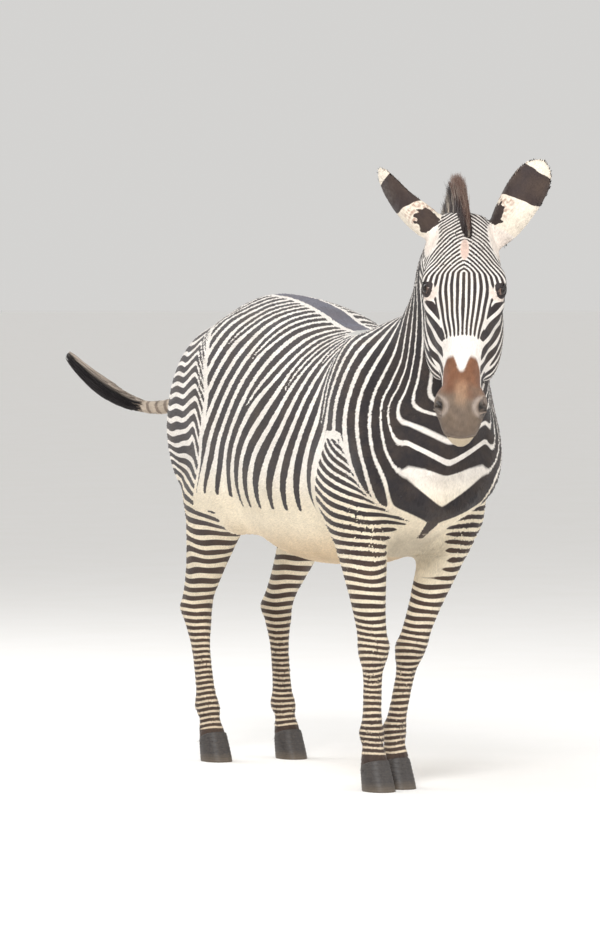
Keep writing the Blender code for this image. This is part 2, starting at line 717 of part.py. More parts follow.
def part_flesh(body):
    """Parts the body with thin cuts, and names the pieces."""
    down, _, out = HEAD
    cuts = [disc_cutter(on_head(0.150, 0, -0.170), 0.33 * down + 0.94 * out, 0.28)]
    cuts += [disc_cutter(NECK_BASE + 0.22 * NECK_AXIS, NECK_AXIS, 0.36)]
    cuts += [disc_cutter((-0.014, 0.800, 1.283), (-0.12, 0.55, -0.83), 0.055)]
    for name, joints in LEGS.items():
        hind = "hind" in name
        top, low = np.array(joints[0]), np.array(joints[1])
        way = (top - low) / (top - low)[2]
        rim_z = 0.715 if hind else 0.645
        rim = low + way * (rim_z - low[2])
        radii = (0.115, 0.195) if hind else (0.105, 0.150)
        height = 0.17 if hind else 0.20
        cuts.append(dome_cutter(rim, way, radii, height))
    remove_shape(body, cuts)
    marks = {
        "head": on_head(0.40, 0, -0.10),
        "neck": NECK_BASE + 0.42 * NECK_AXIS,
        "trunk": np.array((0, 0, 1.05)),
        "tail": np.array(TAIL_POINTS[3][:3]),
    }
    marks.update({name: np.array(joints[1]) for name, joints in LEGS.items()})
    pieces = {}
    meshes = loose_parts(body)
    bpy.data.objects.remove(body)
    for mesh in meshes:
        middle = points_of(mesh).mean(0)
        name = min(marks, key=lambda n: np.linalg.norm(middle - marks[n]))
        pieces[name] = new_object(name, mesh)
    return pieces


MATERIALS = {  # colour and roughness
    "trunk": ((0.36, 0.33, 0.31), 0.80),
    "neck": ((0.30, 0.28, 0.27), 0.80),
    "head": ((0.40, 0.36, 0.33), 0.78),
    "leg": ((0.33, 0.30, 0.27), 0.80),
    "tail": ((0.42, 0.38, 0.34), 0.85),
    "tail_tuft": ((0.06, 0.05, 0.05), 0.90),
    "mane": ((0.10, 0.08, 0.07), 0.90),
    "ear": ((0.70, 0.66, 0.60), 0.85),
    "eye": ((0.012, 0.008, 0.006), 0.12),
    "hoof": ((0.045, 0.040, 0.038), 0.55),
}


def finish_piece(obj):
    """Its own material, and a tidy closed mesh."""
    kind = next(k for k in sorted(MATERIALS, key=len, reverse=True) if k in obj.name)
    colour, roughness = MATERIALS[kind]
    material = bpy.data.materials.new("mat_" + obj.name)
    material.use_nodes = True
    shader = material.node_tree.nodes["Principled BSDF"]
    shader.inputs["Base Color"].default_value = (*colour, 1)
    shader.inputs["Roughness"].default_value = roughness
    material.diffuse_color = (*colour, 1)
    obj.data.materials.clear()
    obj.data.materials.append(material)


def hoof(name, foot):
    """A hoof with a flat sole on the floor, cut along the coronet."""
    bm = bmesh.new()
    form = Loft(hoof_rows(foot), axis=(0, 0, 1), side=(1, 0, 0), up=(0, -1, 0))
    form.mesh(bm, spacing=0.03, around=18)
    obj = new_object(name, bm)
    place, normal = foot_plane(foot)
    slice_away(obj, place - normal * GAP, normal, above=True)
    return obj


def eye(name, side):
    """An eyeball; side is 1 for the left one."""
    bm = bmesh.new()
    place = Matrix.Translation(on_head(EYE[0], side * EYE[1], EYE[2]))
    bmesh.ops.create_icosphere(bm, subdivisions=2, radius=EYE_RADIUS, matrix=place)
    return new_object(name, bm)


def stand_at_origin(objects):
    """Moves everything so that the middle of the whole box's base is at the origin."""
    clouds = [points_of(obj.data) for obj in objects]
    every = np.concatenate(clouds)
    low, high = every.min(0), every.max(0)
    shift = np.array([(low[0] + high[0]) / 2, (low[1] + high[1]) / 2, low[2]])
    for obj, cloud in zip(objects, clouds):
        set_points(obj.data, cloud - shift)


def main():
    for obj in list(bpy.data.objects):
        bpy.data.objects.remove(obj)
    pieces = part_flesh(whole_body())
    for name, joints in LEGS.items():
        slice_away(pieces[name], *foot_plane(joints[3]), above=False)
        hoof_name = name.replace("foreleg", "hoof_fore").replace("hindleg", "hoof_hind")
        pieces[hoof_name] = hoof(hoof_name, joints[3])
    end = Vector(TUFT_POINTS[0][:3])
    way = (Vector(TUFT_POINTS[1][:3]) - end).normalized()
    slice_away(pieces["tail"], end, way, above=True)
    tuft = tube_object("tail_tuft", tuft_rings(TUFT_POINTS))
    slice_away(tuft, end + way * GAP, way, above=False)
    pieces["tail_tuft"] = tuft
    for side, name in ((1, "eye_left"), (-1, "eye_right")):
        pieces[name] = eye(name, side)
        remove_shape(pieces["head"], [swollen(pieces[name], GAP)])
    for name in EARS:
        pieces[name] = tube_object(name, ear_rings(name))
        remove_shape(pieces[name], [swollen(pieces["head"], GAP)])
    mane = tube_object("mane", mane_rings())
    remove_shape(mane, [swollen(pieces[name], GAP) for name in ("head", "neck", "trunk")])
    pieces["mane"] = mane
    stand_at_origin(list(pieces.values()))
    for obj in pieces.values():
        finish_piece(obj)


main()
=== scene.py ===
"""The looks of a life-size Grevy's zebra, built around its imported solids. Blender 4.5; metres.

One skin stands for all the flesh. It lies inside the solids by the coat's depth, and tufts of short fur,
the mane, the ear fringes and the tail's tuft are meshes over it. Skin and coat take their colours from the
same markings(), so every stripe runs through both.
"""

import json
import math

import bmesh
import bpy
import numpy as np
from mathutils import Matrix, Vector

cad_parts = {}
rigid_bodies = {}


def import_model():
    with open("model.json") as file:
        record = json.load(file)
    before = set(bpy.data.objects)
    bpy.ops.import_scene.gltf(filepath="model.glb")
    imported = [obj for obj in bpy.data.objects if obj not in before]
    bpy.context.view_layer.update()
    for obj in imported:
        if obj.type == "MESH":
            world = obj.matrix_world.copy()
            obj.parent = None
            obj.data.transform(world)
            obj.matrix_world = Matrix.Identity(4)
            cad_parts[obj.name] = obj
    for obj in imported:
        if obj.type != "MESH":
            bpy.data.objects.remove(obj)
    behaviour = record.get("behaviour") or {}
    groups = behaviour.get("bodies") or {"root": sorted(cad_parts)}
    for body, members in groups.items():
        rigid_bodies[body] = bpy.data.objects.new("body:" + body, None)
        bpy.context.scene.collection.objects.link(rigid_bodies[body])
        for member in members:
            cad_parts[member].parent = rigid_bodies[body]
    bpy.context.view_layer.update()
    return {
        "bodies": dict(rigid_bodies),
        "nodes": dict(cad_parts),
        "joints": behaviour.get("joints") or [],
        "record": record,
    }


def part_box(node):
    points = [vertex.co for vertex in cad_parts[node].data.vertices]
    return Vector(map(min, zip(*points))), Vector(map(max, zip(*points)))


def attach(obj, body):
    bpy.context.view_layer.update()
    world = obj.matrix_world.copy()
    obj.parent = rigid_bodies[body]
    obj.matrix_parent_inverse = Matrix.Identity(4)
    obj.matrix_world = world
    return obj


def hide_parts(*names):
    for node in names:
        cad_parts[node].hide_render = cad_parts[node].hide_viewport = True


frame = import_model()
rng = np.random.default_rng(7)

# ---------------------------------------------------------------- driving sizes, as in the part
POLL = np.array([-0.038, -0.967, 1.724])  # top of the head, between the ears
HEAD_LENGTH = 0.675  # poll to upper lip
HEAD_YAW = math.radians(-27)  # the face turns to the animal's right
HEAD_PITCH = math.radians(23.7)
HEAD_ROLL = math.radians(1.2)
EYE_RADIUS = 0.0215
EAR_LENGTH = 0.285
EAR_THICKNESS = 0.010  # at the root, thicker than the solid's so that the remesh holds it
EAR_BOW = 0.02  # how far the ear's middle bows back
CORONET_Z = 0.078
CORONET_SLOPE = math.radians(20)
COAT_DEPTH = 0.003  # from the solids in to the skin
EAR_COAT_DEPTH = 0.0008  # the same on the ears' thin walls

VOXEL = 0.0042  # of the remesh that joins the forms
SKIN_TRIANGLES = 110_000  # before the long edges are split
HEAD_THINNING = 0.99999  # below 1, so that the head keeps more of its points than the rest
UP = np.array([0, 0, 1.0])


# ---------------------------------------------------------------- smooth-blended forms
def smooth_curve(rows, samples=240):
    """Rows of (t, values...) read as smooth curves: the sampled t, and a column for each value."""
    rows = np.array(rows, float)
    t, values = rows[:, 0], rows[:, 1:]
    slope = np.gradient(values, t, axis=0)
    at = np.linspace(t[0], t[-1], samples)
    i = np.clip(np.searchsorted(t, at, side="right") - 1, 0, len(t) - 2)
    step = (t[i + 1] - t[i])[:, None]
    x = (at - t[i])[:, None] / step
    start, end = values[i], values[i + 1]
    curve = (
        (2 * x**3 - 3 * x**2 + 1) * start
        + (x**3 - 2 * x**2 + x) * step * slope[i]
        + (3 * x**2 - 2 * x**3) * end
        + (x**3 - x**2) * step * slope[i + 1]
    )
    return at, curve


def read(table, known, t):
    """Each column of a table read at t, where known holds the t of each row."""
    return [np.interp(t, known, column) for column in table.T]


def in_box(points, low, high):
    """The numbers of the places inside a box."""
    return np.flatnonzero(((points > low) & (points < high)).all(1))


class Loft:
    """Parallel sections on an axis. Rows are (t, centre u, centre v, half width, up, down, squareness)."""

    carve = False

    def __init__(self, rows, origin=(0, 0, 0), axis=(0, 1, 0), side=(1, 0, 0), up=(0, 0, 1), blend=0.05):
        self.origin = np.array(origin, float)
        self.frame = np.array([axis, side, up], float)
        self.t, self.values = smooth_curve(rows)
        self.blend = blend
        reach = self.values[:, 2:5].max(1)[:, None]
        path = self.place(self.t, self.values[:, 0], self.values[:, 1])
        self.low, self.high = (path - reach).min(0), (path + reach).max(0)

    def place(self, t, u, v):
        return self.origin + np.stack([t, u, v], -1) @ self.frame

    def distance(self, points):
        t, u, v = self.frame @ (points - self.origin).T
        inside = np.clip(t, self.t[0], self.t[-1])
        cu, cv, half, up, down, power = read(self.values, self.t, inside)
        v = v - cv
        tall = np.where(v > 0, up, down)
        u, v = np.abs(u - cu) / half, np.abs(v) / tall
        k = (u**power + v**power) ** (1 / power) + 1e-9
        slope = np.hypot((u / k) ** (power - 1) / half, (v / k) ** (power - 1) / tall)
        section = (k - 1) / slope
        over = np.abs(t - inside)
        return np.where(over > 0, np.hypot(np.maximum(section, 0), over), section)

    def outline(self, t, angles):
        """The section's outline, in u and v, at t, which is one number or one for each angle."""
        cu, cv, half, up, down, power = read(self.values, self.t, t)
        c, s = np.cos(angles), np.sin(angles)
        u = cu + half * np.sign(c) * np.abs(c) ** (2 / power)
        return u, cv + np.where(s > 0, up, down) * np.sign(s) * np.abs(s) ** (2 / power)

    def mesh(self, bm, spacing=0.03, around=28):
        """Rings of points along the axis, joined into a closed tube."""
        count = max(4, int((self.t[-1] - self.t[0]) / spacing))
        angles = np.linspace(0, 2 * math.pi, around, endpoint=False)
        ts = np.linspace(self.t[0], self.t[-1], count)
        add_tube(bm, [self.place(np.full(around, t), *self.outline(t, angles)) for t in ts])


class Mass:
    """An ellipsoid: a muscle or bone that shows, or a hollow where it is carved."""

    def __init__(self, centre, radii, frame=None, blend=0.05, carve=False):
        self.centre, self.radii = np.array(centre, float), np.array(radii, float)
        self.frame = np.eye(3) if frame is None else np.array(frame, float)
        self.blend, self.carve = blend, carve
        reach = self.radii.max()
        self.low, self.high = self.centre - reach, self.centre + reach

    def distance(self, points):
        local = (points - self.centre) @ self.frame.T
        k0 = np.linalg.norm(local / self.radii, axis=1) + 1e-9
        k1 = np.linalg.norm(local / self.radii**2, axis=1) + 1e-9
        return k0 * (k0 - 1) / k1

    def mesh(self, bm):
        turn = Matrix(self.frame.T.tolist()).to_4x4()
        place = Matrix.Translation(self.centre) @ turn @ Matrix.Diagonal((*self.radii, 1))
        bmesh.ops.create_icosphere(bm, subdivisions=3, radius=1, matrix=place)


def blended(points, forms):
    """Distance, near enough, from each point to the blended surface of all forms; inside is negative."""
    found = np.full(len(points), 1.0)
    for form in forms:
        margin = form.blend + 0.05
        near = in_box(points, form.low - margin, form.high + margin)
        if not len(near):
            continue
        a, b = found[near], form.distance(points[near])
        if form.carve:
            h = np.clip(0.5 - 0.5 * (a + b) / form.blend, 0, 1)
            found[near] = a * (1 - h) - b * h + form.blend * h * (1 - h)
        else:
            h = np.clip(0.5 + 0.5 * (a - b) / form.blend, 0, 1)
            found[near] = a * (1 - h) + b * h - form.blend * h * (1 - h)
    return found


CORNERS = np.array([(1, 1, 1), (1, -1, -1), (-1, 1, -1), (-1, -1, 1)], float)


def settle(points, forms, inset=0.0, rounds=5, reach=0.0008):
    """Moves points along the form's slope until they lie on its surface, or inset below it."""
    for _ in range(rounds):
        found = [blended(points + reach * c, forms) for c in CORNERS]
        slope = sum(c * f[:, None] for c, f in zip(CORNERS, found)) / (4 * reach)
        depth = sum(found) / 4 + inset
        step = depth / np.maximum((slope**2).sum(1), 0.05)
        points = points - np.clip(step, -0.02, 0.02)[:, None] * slope  # at most 20 mm a round
    return points


def unit(vector):
    return np.array(vector, float) / np.linalg.norm(vector)


def units(vectors):
    return vectors / np.maximum(np.linalg.norm(vectors, axis=-1, keepdims=True), 1e-9)


def tilt_about_x(degrees):
    a = math.radians(degrees)
    return np.array([(1, 0, 0), (0, math.cos(a), math.sin(a)), (0, -math.sin(a), math.cos(a))])


def both_sides(x, y, z, radii, tilt=0, blend=0.06, carve=False):
    return [Mass((side * x, y, z), radii, tilt_about_x(tilt), blend, carve) for side in (1, -1)]


# ---------------------------------------------------------------- trunk
TRUNK_AXIS_Z = 1.06
TRUNK_ROWS = [  # y, 0, centre z, half width, up, down, squareness
    (-0.74, 0, 1.020, 0.135, 0.160, 0.170, 2.0),
    (-0.66, 0, 1.060, 0.180, 0.250, 0.270, 2.0),
    (-0.55, 0, 1.070, 0.210, 0.330, 0.335, 2.0),
    (-0.44, 0, 1.070, 0.228, 0.340, 0.375, 1.95),
    (-0.33, 0, 1.060, 0.248, 0.328, 0.388, 2.0),
    (-0.22, 0, 1.050, 0.268, 0.328, 0.393, 2.1),
    (-0.12, 0, 1.050, 0.284, 0.342, 0.396, 2.15),
    (0.05, 0, 1.060, 0.301, 0.380, 0.408, 2.15),
    (0.20, 0, 1.080, 0.301, 0.387, 0.408, 2.1),
    (0.32, 0, 1.110, 0.290, 0.369, 0.388, 2.0),
    (0.44, 0, 1.150, 0.272, 0.330, 0.330, 1.9),
    (0.56, 0, 1.170, 0.245, 0.280, 0.270, 1.9),
    (0.66, 0, 1.170, 0.208, 0.235, 0.210, 1.9),
    (0.74, 0, 1.150, 0.150, 0.180, 0.170, 2.0),
]


def trunk_forms():
    forms = [Loft(TRUNK_ROWS, blend=0.04)]
    forms += both_sides(0.135, -0.52, 1.115, (0.105, 0.150, 0.262), tilt=-22)  # shoulder blade
    forms += both_sides(0.140, -0.65, 0.990, (0.085, 0.095, 0.125))  # point of the shoulder
    forms += both_sides(0.062, -0.665, 0.930, (0.080, 0.085, 0.105), blend=0.06)  # breast
    forms += both_sides(0.180, -0.43, 0.925, (0.075, 0.120, 0.140), blend=0.07)  # triceps
    forms += both_sides(0.165, 0.40, 1.110, (0.130, 0.250, 0.280), tilt=18, blend=0.08)  # haunch
    forms += both_sides(0.150, 0.625, 1.080, (0.128, 0.172, 0.270), tilt=10, blend=0.07)  # buttock
    forms += both_sides(0.185, 0.33, 0.860, (0.080, 0.110, 0.130), blend=0.08)  # stifle
    forms += both_sides(0.075, 0.60, 0.935, (0.090, 0.140, 0.175), blend=0.06)  # inner thigh
    return forms


# ---------------------------------------------------------------- neck
NECK_BASE = np.array([0.0, -0.520, 1.130])
NECK_AXIS = unit((-0.03, -0.585, 0.81))
NECK_SIDE = unit(np.cross(NECK_AXIS, (0, 0.81, 0.585)))
NECK_CREST = np.cross(NECK_SIDE, NECK_AXIS)
NECK_ROWS = [  # t, towards the right, towards the crest, half width, crest side, throat side, squareness
    (-0.05, 0.000, 0.000, 0.180, 0.190, 0.220, 2.0),
    (0.00, -0.004, 0.000, 0.195, 0.215, 0.280, 2.0),
    (0.12, -0.018, 0.000, 0.172, 0.190, 0.270, 2.0),
    (0.26, -0.030, 0.000, 0.142, 0.150, 0.234, 2.0),
    (0.40, -0.025, 0.005, 0.114, 0.126, 0.196, 2.0),
    (0.52, -0.002, 0.008, 0.096, 0.118, 0.162, 2.0),
    (0.62, 0.008, 0.005, 0.082, 0.094, 0.134, 2.0),
    (0.70, 0.015, 0.000, 0.060, 0.060, 0.090, 2.0),
]


def neck_forms():
    side = NECK_SIDE * np.sign(-NECK_SIDE[0])  # towards the animal's right
    return [Loft(NECK_ROWS, NECK_BASE, NECK_AXIS, side, NECK_CREST, blend=0.10)]


# ---------------------------------------------------------------- head
def head_frame():
    """Unit vectors down the face, to the head's left, and out of the forehead."""
    ahead = np.array([math.sin(HEAD_YAW), -math.cos(HEAD_YAW), 0])
    left = np.array([math.cos(HEAD_YAW), math.sin(HEAD_YAW), 0])
    down_face = ahead * math.sin(HEAD_PITCH) - UP * math.cos(HEAD_PITCH)
    out = ahead * math.cos(HEAD_PITCH) + UP * math.sin(HEAD_PITCH)
    c, s = math.cos(HEAD_ROLL), math.sin(HEAD_ROLL)
    return np.array([down_face * c - left * s, left * c + down_face * s, out])


HEAD = head_frame()
HEAD_SCALE = HEAD_LENGTH / 0.665  # the sizes below are for a head 0.665 long
SKULL_ROWS = [  # t, side, centre v, half width, up, down, squareness
    (-0.020, 0, -0.075, 0.058, 0.058, 0.075, 2.0),
    (0.030, 0, -0.085, 0.088, 0.083, 0.090, 2.1),
    (0.090, 0, -0.095, 0.103, 0.100, 0.100, 2.2),
    (0.150, 0, -0.100, 0.108, 0.109, 0.110, 2.15),
    (0.200, 0, -0.100, 0.106, 0.109, 0.115, 2.15),
    (0.260, 0, -0.098, 0.095, 0.105, 0.110, 2.15),
    (0.330, 0, -0.095, 0.080, 0.099, 0.100, 2.3),
    (0.410, 0, -0.088, 0.066, 0.088, 0.085, 2.2),
    (0.490, 0, -0.080, 0.058, 0.077, 0.070, 2.2),
    (0.555, 0, -0.076, 0.060, 0.069, 0.060, 2.2),
    (0.605, 0, -0.077, 0.056, 0.058, 0.055, 2.2),
    (0.645, 0, -0.082, 0.044, 0.038, 0.042, 2.1),
]
JAW_ROWS = [
    (0.090, 0, -0.165, 0.064, 0.060, 0.062, 2.0),
    (0.180, 0, -0.178, 0.084, 0.070, 0.084, 2.1),
    (0.270, 0, -0.174, 0.094, 0.070, 0.088, 2.1),
    (0.360, 0, -0.160, 0.088, 0.062, 0.078, 2.1),
    (0.450, 0, -0.142, 0.062, 0.052, 0.052, 2.1),
    (0.530, 0, -0.130, 0.043, 0.040, 0.033, 2.1),
    (0.585, 0, -0.126, 0.041, 0.035, 0.033, 2.1),
    (0.620, 0, -0.120, 0.033, 0.026, 0.025, 2.0),
]
EYE = np.array([0.207, 0.100, -0.049])  # down the face, aside, and below the forehead's line
NOSTRIL = np.array([0.579, 0.064, -0.032])


def on_head(t, u, v):
    """A place on the head: t down the face from the poll, u to its left, v out of the forehead."""
    return POLL + HEAD_SCALE * np.array([t, u, v]) @ HEAD


def head_places(points):
    """The same three numbers, as columns, for places in space."""
    return ((points - POLL) @ HEAD.T / HEAD_SCALE).T


def head_mass(t, u, v, radii, turn=0, blend=0.03, carve=False):
    """An ellipsoid and its mirror image on the head; turn leans its long axis outwards."""
    found = []
    for side in (1, -1) if u else (1,):
        a = math.radians(turn * side)
        turned = np.array([(math.cos(a), math.sin(a), 0), (-math.sin(a), math.cos(a), 0), (0, 0, 1)])
        radii_here = HEAD_SCALE * np.array(radii)
        found.append(Mass(on_head(t, side * u, v), radii_here, turned @ HEAD, blend, carve))
    return found


def head_forms():
    forms = []
    for rows, blend in ((SKULL_ROWS, 0.06), (JAW_ROWS, 0.03)):
        scaled = [[HEAD_SCALE * size for size in row[:6]] + [row[6]] for row in rows]
        forms.append(Loft(scaled, POLL, *HEAD, blend=blend))
    forms += head_mass(0.020, 0.000, -0.070, (0.050, 0.055, 0.055), blend=0.04)  # poll
    forms += head_mass(0.285, 0.068, -0.180, (0.150, 0.050, 0.092), blend=0.03)  # cheek
    forms += head_mass(0.172, 0.097, -0.052, (0.045, 0.027, 0.028), turn=12, blend=0.025)  # brow
    forms += head_mass(0.228, 0.092, -0.084, (0.050, 0.027, 0.034), blend=0.025)  # eye socket
    forms += head_mass(0.310, 0.072, -0.080, (0.090, 0.013, 0.018), turn=-12, blend=0.03)  # face ridge
    forms += head_mass(0.562, 0.051, -0.048, (0.048, 0.028, 0.036), turn=8, blend=0.022)  # nostril wing
    forms += head_mass(0.612, 0.000, -0.070, (0.048, 0.056, 0.044), blend=0.025)  # upper lip
    forms += head_mass(0.628, 0.000, -0.118, (0.042, 0.036, 0.032), blend=0.020)  # chin
    return forms


# ---------------------------------------------------------------- legs
FORE_SECTIONS = [  # joint number, half width, fore, aft
    (-0.25, 0.050, 0.080, 0.080),
    (0.00, 0.080, 0.108, 0.112),
    (0.25, 0.072, 0.092, 0.088),
    (0.50, 0.060, 0.073, 0.067),
    (0.75, 0.049, 0.056, 0.052),
    (0.90, 0.047, 0.051, 0.046),
    (1.00, 0.050, 0.054, 0.048),
    (1.10, 0.046, 0.047, 0.046),
    (1.25, 0.034, 0.034, 0.039),
    (1.55, 0.029, 0.029, 0.037),
    (1.82, 0.031, 0.031, 0.040),
    (2.00, 0.039, 0.039, 0.047),
    (2.35, 0.034, 0.035, 0.037),
    (2.75, 0.040, 0.042, 0.040),
    (3.20, 0.045, 0.050, 0.045),
]
HIND_SECTIONS = [
    (-0.25, 0.060, 0.110, 0.130),
    (0.00, 0.096, 0.165, 0.185),
    (0.30, 0.084, 0.128, 0.128),
    (0.58, 0.064, 0.092, 0.092),
    (0.78, 0.052, 0.070, 0.080),
    (0.90, 0.047, 0.060, 0.080),
    (1.00, 0.050, 0.060, 0.070),
    (1.14, 0.043, 0.049, 0.052),
    (1.34, 0.032, 0.037, 0.042),
    (1.62, 0.029, 0.032, 0.040),
    (1.85, 0.032, 0.034, 0.043),
    (2.00, 0.040, 0.041, 0.050),
    (2.35, 0.034, 0.036, 0.038),
    (2.75, 0.040, 0.042, 0.040),
    (3.20, 0.045, 0.050, 0.045),
]
FORE_HEIGHTS = (0.80, 0.43, 0.165, CORONET_Z)  # of elbow, knee, fetlock and coronet
HIND_HEIGHTS = (0.86, 0.48, 0.165, CORONET_Z)  # of stifle, hock, fetlock and coronet
JOINTS = {  # x and y of the same four
    "foreleg_right": [(-0.160, -0.490), (-0.127, -0.525), (-0.134, -0.530), (-0.140, -0.560)],
    "foreleg_left": [(0.170, -0.470), (0.012, -0.500), (-0.032, -0.472), (-0.039, -0.495)],
    "hindleg_right": [(-0.178, 0.460), (-0.156, 0.715), (-0.148, 0.645), (-0.147, 0.610)],
    "hindleg_left": [(0.165, 0.450), (0.126, 0.715), (0.114, 0.640), (0.112, 0.605)],
}
LEGS = {
    name: np.column_stack([places, HIND_HEIGHTS if "hind" in name else FORE_HEIGHTS])
    for name, places in JOINTS.items()
}


def leg_axis(name, z):
    """x and y of a leg's axis at the heights z."""
    upward = LEGS[name][::-1]
    return read(upward[:, :2], upward[:, 2], z)


def leg_rows(name):
    """Rows for a leg's loft, from its joints and the sections between them."""
    sections = HIND_SECTIONS if "hind" in name else FORE_SECTIONS
    joints = LEGS[name]
    rows = []
    for number, half, fore, aft in sections:
        past = max(-number, 0) * (joints[0] - joints[1]) + max(number - 3, 0) * (joints[3] - joints[2])
        x, y, z = np.array(read(joints, range(4), number)) + past
        rows.append((z, x, -y, half, fore, aft, 2.0))
    return rows[::-1]


def leg_form(name):
    blend = 0.08 if "hind" in name else 0.06
    return Loft(leg_rows(name), axis=(0, 0, 1), side=(1, 0, 0), up=(0, -1, 0), blend=blend)


def hoof_rows(foot):
    """Rows for a hoof's loft, from the sole up past the coronet."""
    x, y, z = foot
    return [
        (0.000, x, -y + 0.026, 0.047, 0.066, 0.052, 2.3),
        (0.030, x, -y + 0.017, 0.046, 0.060, 0.049, 2.3),
        (z, x, -y + 0.002, 0.044, 0.051, 0.044, 2.1),
        (z + 0.045, x, -y - 0.008, 0.042, 0.046, 0.041, 2.0),
    ]


# ---------------------------------------------------------------- tail
TAIL_POINTS = [  # x, y, z and radius, from the root to the end of the dock
    (0.000, 0.660, 1.385, 0.050),
    (-0.006, 0.775, 1.310, 0.036),
    (-0.040, 0.860, 1.200, 0.028),
    (-0.110, 0.935, 1.125, 0.024),
    (-0.205, 1.000, 1.110, 0.020),
    (-0.300, 1.062, 1.155, 0.016),
]
TUFT_POINTS = [
    (-0.205, 1.000, 1.110, 0.021),
    (-0.255, 1.032, 1.128, 0.030),
    (-0.305, 1.064, 1.160, 0.035),
    (-0.350, 1.092, 1.198, 0.031),
    (-0.385, 1.112, 1.236, 0.019),
    (-0.408, 1.125, 1.266, 0.004),
]


def curve_points(rows, samples):
    """Evenly numbered samples of a smooth curve through rows of values."""
    return smooth_curve([(i, *row) for i, row in enumerate(rows)], samples)[1]


def tail_forms():
    return [Mass(p[:3], (p[3],) * 3, blend=0.012) for p in curve_points(TAIL_POINTS, 40)]


def on_tail(points):
    """For each place, the number of the dock's nearest axis point, that point, and the axis's way there."""
    line = curve_points(TAIL_POINTS, 60)[:, :3]
    nearest = np.argmin(((points[:, None] - line) ** 2).sum(-1), axis=1)
    return nearest, line[nearest], units(np.gradient(line, axis=0))[nearest]


# ---------------------------------------------------------------- ears
EAR_ROWS = [  # share of the length, half width, depth, half angle of the wrap
    (0.00, 0.027, 0.026, 165),
    (0.14, 0.043, 0.040, 150),
    (0.30, 0.053, 0.045, 125),
    (0.48, 0.060, 0.040, 105),
    (0.66, 0.063, 0.031, 92),
    (0.82, 0.059, 0.021, 84),
    (0.94, 0.041, 0.012, 80),
    (1.00, 0.014, 0.006, 80),
]
# Root on the head, then the way each ear points and the way its back faces, across and up the face.
EARS = {
    "ear_left": ((0.048, 0.084, -0.075), (0.51, 0.86, -0.10), (0.10, 0.10, 1.0)),
    "ear_right": ((0.048, -0.072, -0.075), (-0.66, 0.76, -0.10), (-0.86, -0.45, 0.50)),
}


def ear_frame(name):
    """Root, the way the ear points, its side, and the way its back faces."""
    root, way, back = EARS[name]
    _, left, _ = HEAD
    ahead = unit(np.cross(left, UP))
    basis = np.array([left, UP, ahead])
    way = unit(np.array(way) @ basis)
    back = np.array(back) @ basis
    back = unit(back - way * (back @ way))
    return on_head(*root), way, np.cross(way, back), back


def ear_wall(s):
    """Half the thickness of an ear's wall, which thins to the tip."""
    return 0.5 * EAR_THICKNESS * (1 - 0.45 * np.clip(s, 0, 1))


def wall_middle(s, half, depth):
    """How far out the middle of an ear's wall is, where 1 is its outer face."""
    return 1 - ear_wall(s) / np.minimum(half, depth)


class Ear:
    """A curved wall that wraps round the ear's hollow, thinning to the tip."""

    carve = False
    blend = 0.016

    def __init__(self, name):
        self.root, self.way, self.side, self.back = ear_frame(name)
        self.share, self.values = smooth_curve(EAR_ROWS)
        tip = self.root + self.way * EAR_LENGTH
        self.low = np.minimum(self.root, tip) - 0.07
        self.high = np.maximum(self.root, tip) + 0.07

    def local(self, points):
        """Share of the length, angle round from the back, and how far out, 1 being on the wall."""
        from_root = points - self.root
        s = from_root @ self.way / EAR_LENGTH
        inside = np.clip(s, 0, 1)
        half, depth, wrap = read(self.values, self.share, inside)
        bow = EAR_BOW * np.sin(math.pi * inside)
        across = from_root @ self.side / half
        outward = (from_root @ self.back - bow + 0.5 * depth) / depth
        return s, np.arctan2(across, outward), np.hypot(across, outward), half, depth, np.radians(wrap)

    def distance(self, points):
        s, angle, out, half, depth, wrap = self.local(points)
        on_wall = np.clip(angle, -wrap, wrap)
        inset = np.clip(wall_middle(s, half, depth), 0.2, 1)
        across = half * (out * np.sin(angle) - inset * np.sin(on_wall))
        outward = depth * (out * np.cos(angle) - inset * np.cos(on_wall))
        ring = half * depth / np.hypot(half * np.cos(angle), depth * np.sin(angle))
        beyond = np.abs(angle) > wrap
        off = np.where(beyond, np.hypot(across, outward), np.abs(out - inset) * ring)
        past = EAR_LENGTH * np.maximum(s - 1, 0) + EAR_LENGTH * np.maximum(-s, 0)
        return np.hypot(off, past) - ear_wall(s)

    def mesh(self, bm, stations=40, around=21):
        rings = []
        share, values = smooth_curve(EAR_ROWS, stations)
        for s, (half, depth, wrap) in zip(share, values):
            a = np.radians(np.linspace(-wrap, wrap, around))
            bow = EAR_BOW * math.sin(math.pi * s)
            middle = self.root + self.way * (EAR_LENGTH * s) + self.back * (bow - 0.5 * depth)
            lines = []
            for inset, angles in ((0.0, a), (2 * ear_wall(s), a[::-1])):
                w, d = max(half - inset, 0.3 * half), max(depth - inset, 0.3 * depth)
                for x in angles:
                    lines.append(middle + self.side * (w * math.sin(x)) + self.back * (d * math.cos(x)))
            rings.append(np.array(lines))
        add_tube(bm, rings)


# ---------------------------------------------------------------- Blender objects
SHIFT = on_head(*EYE) - np.array(sum(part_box("eye_left"), Vector())) / 2


def add_tube(bm, rings):
    """Joins rings of points into a closed tube with flat ends."""
    made = [[bm.verts.new(p) for p in ring] for ring in rings]
    count = len(made[0])
    for a, b in zip(made, made[1:]):
        for i in range(count):
            j = (i + 1) % count
            bm.faces.new((a[i], a[j], b[j], b[i]))
    bm.faces.new(made[0][::-1])
    bm.faces.new(made[-1])


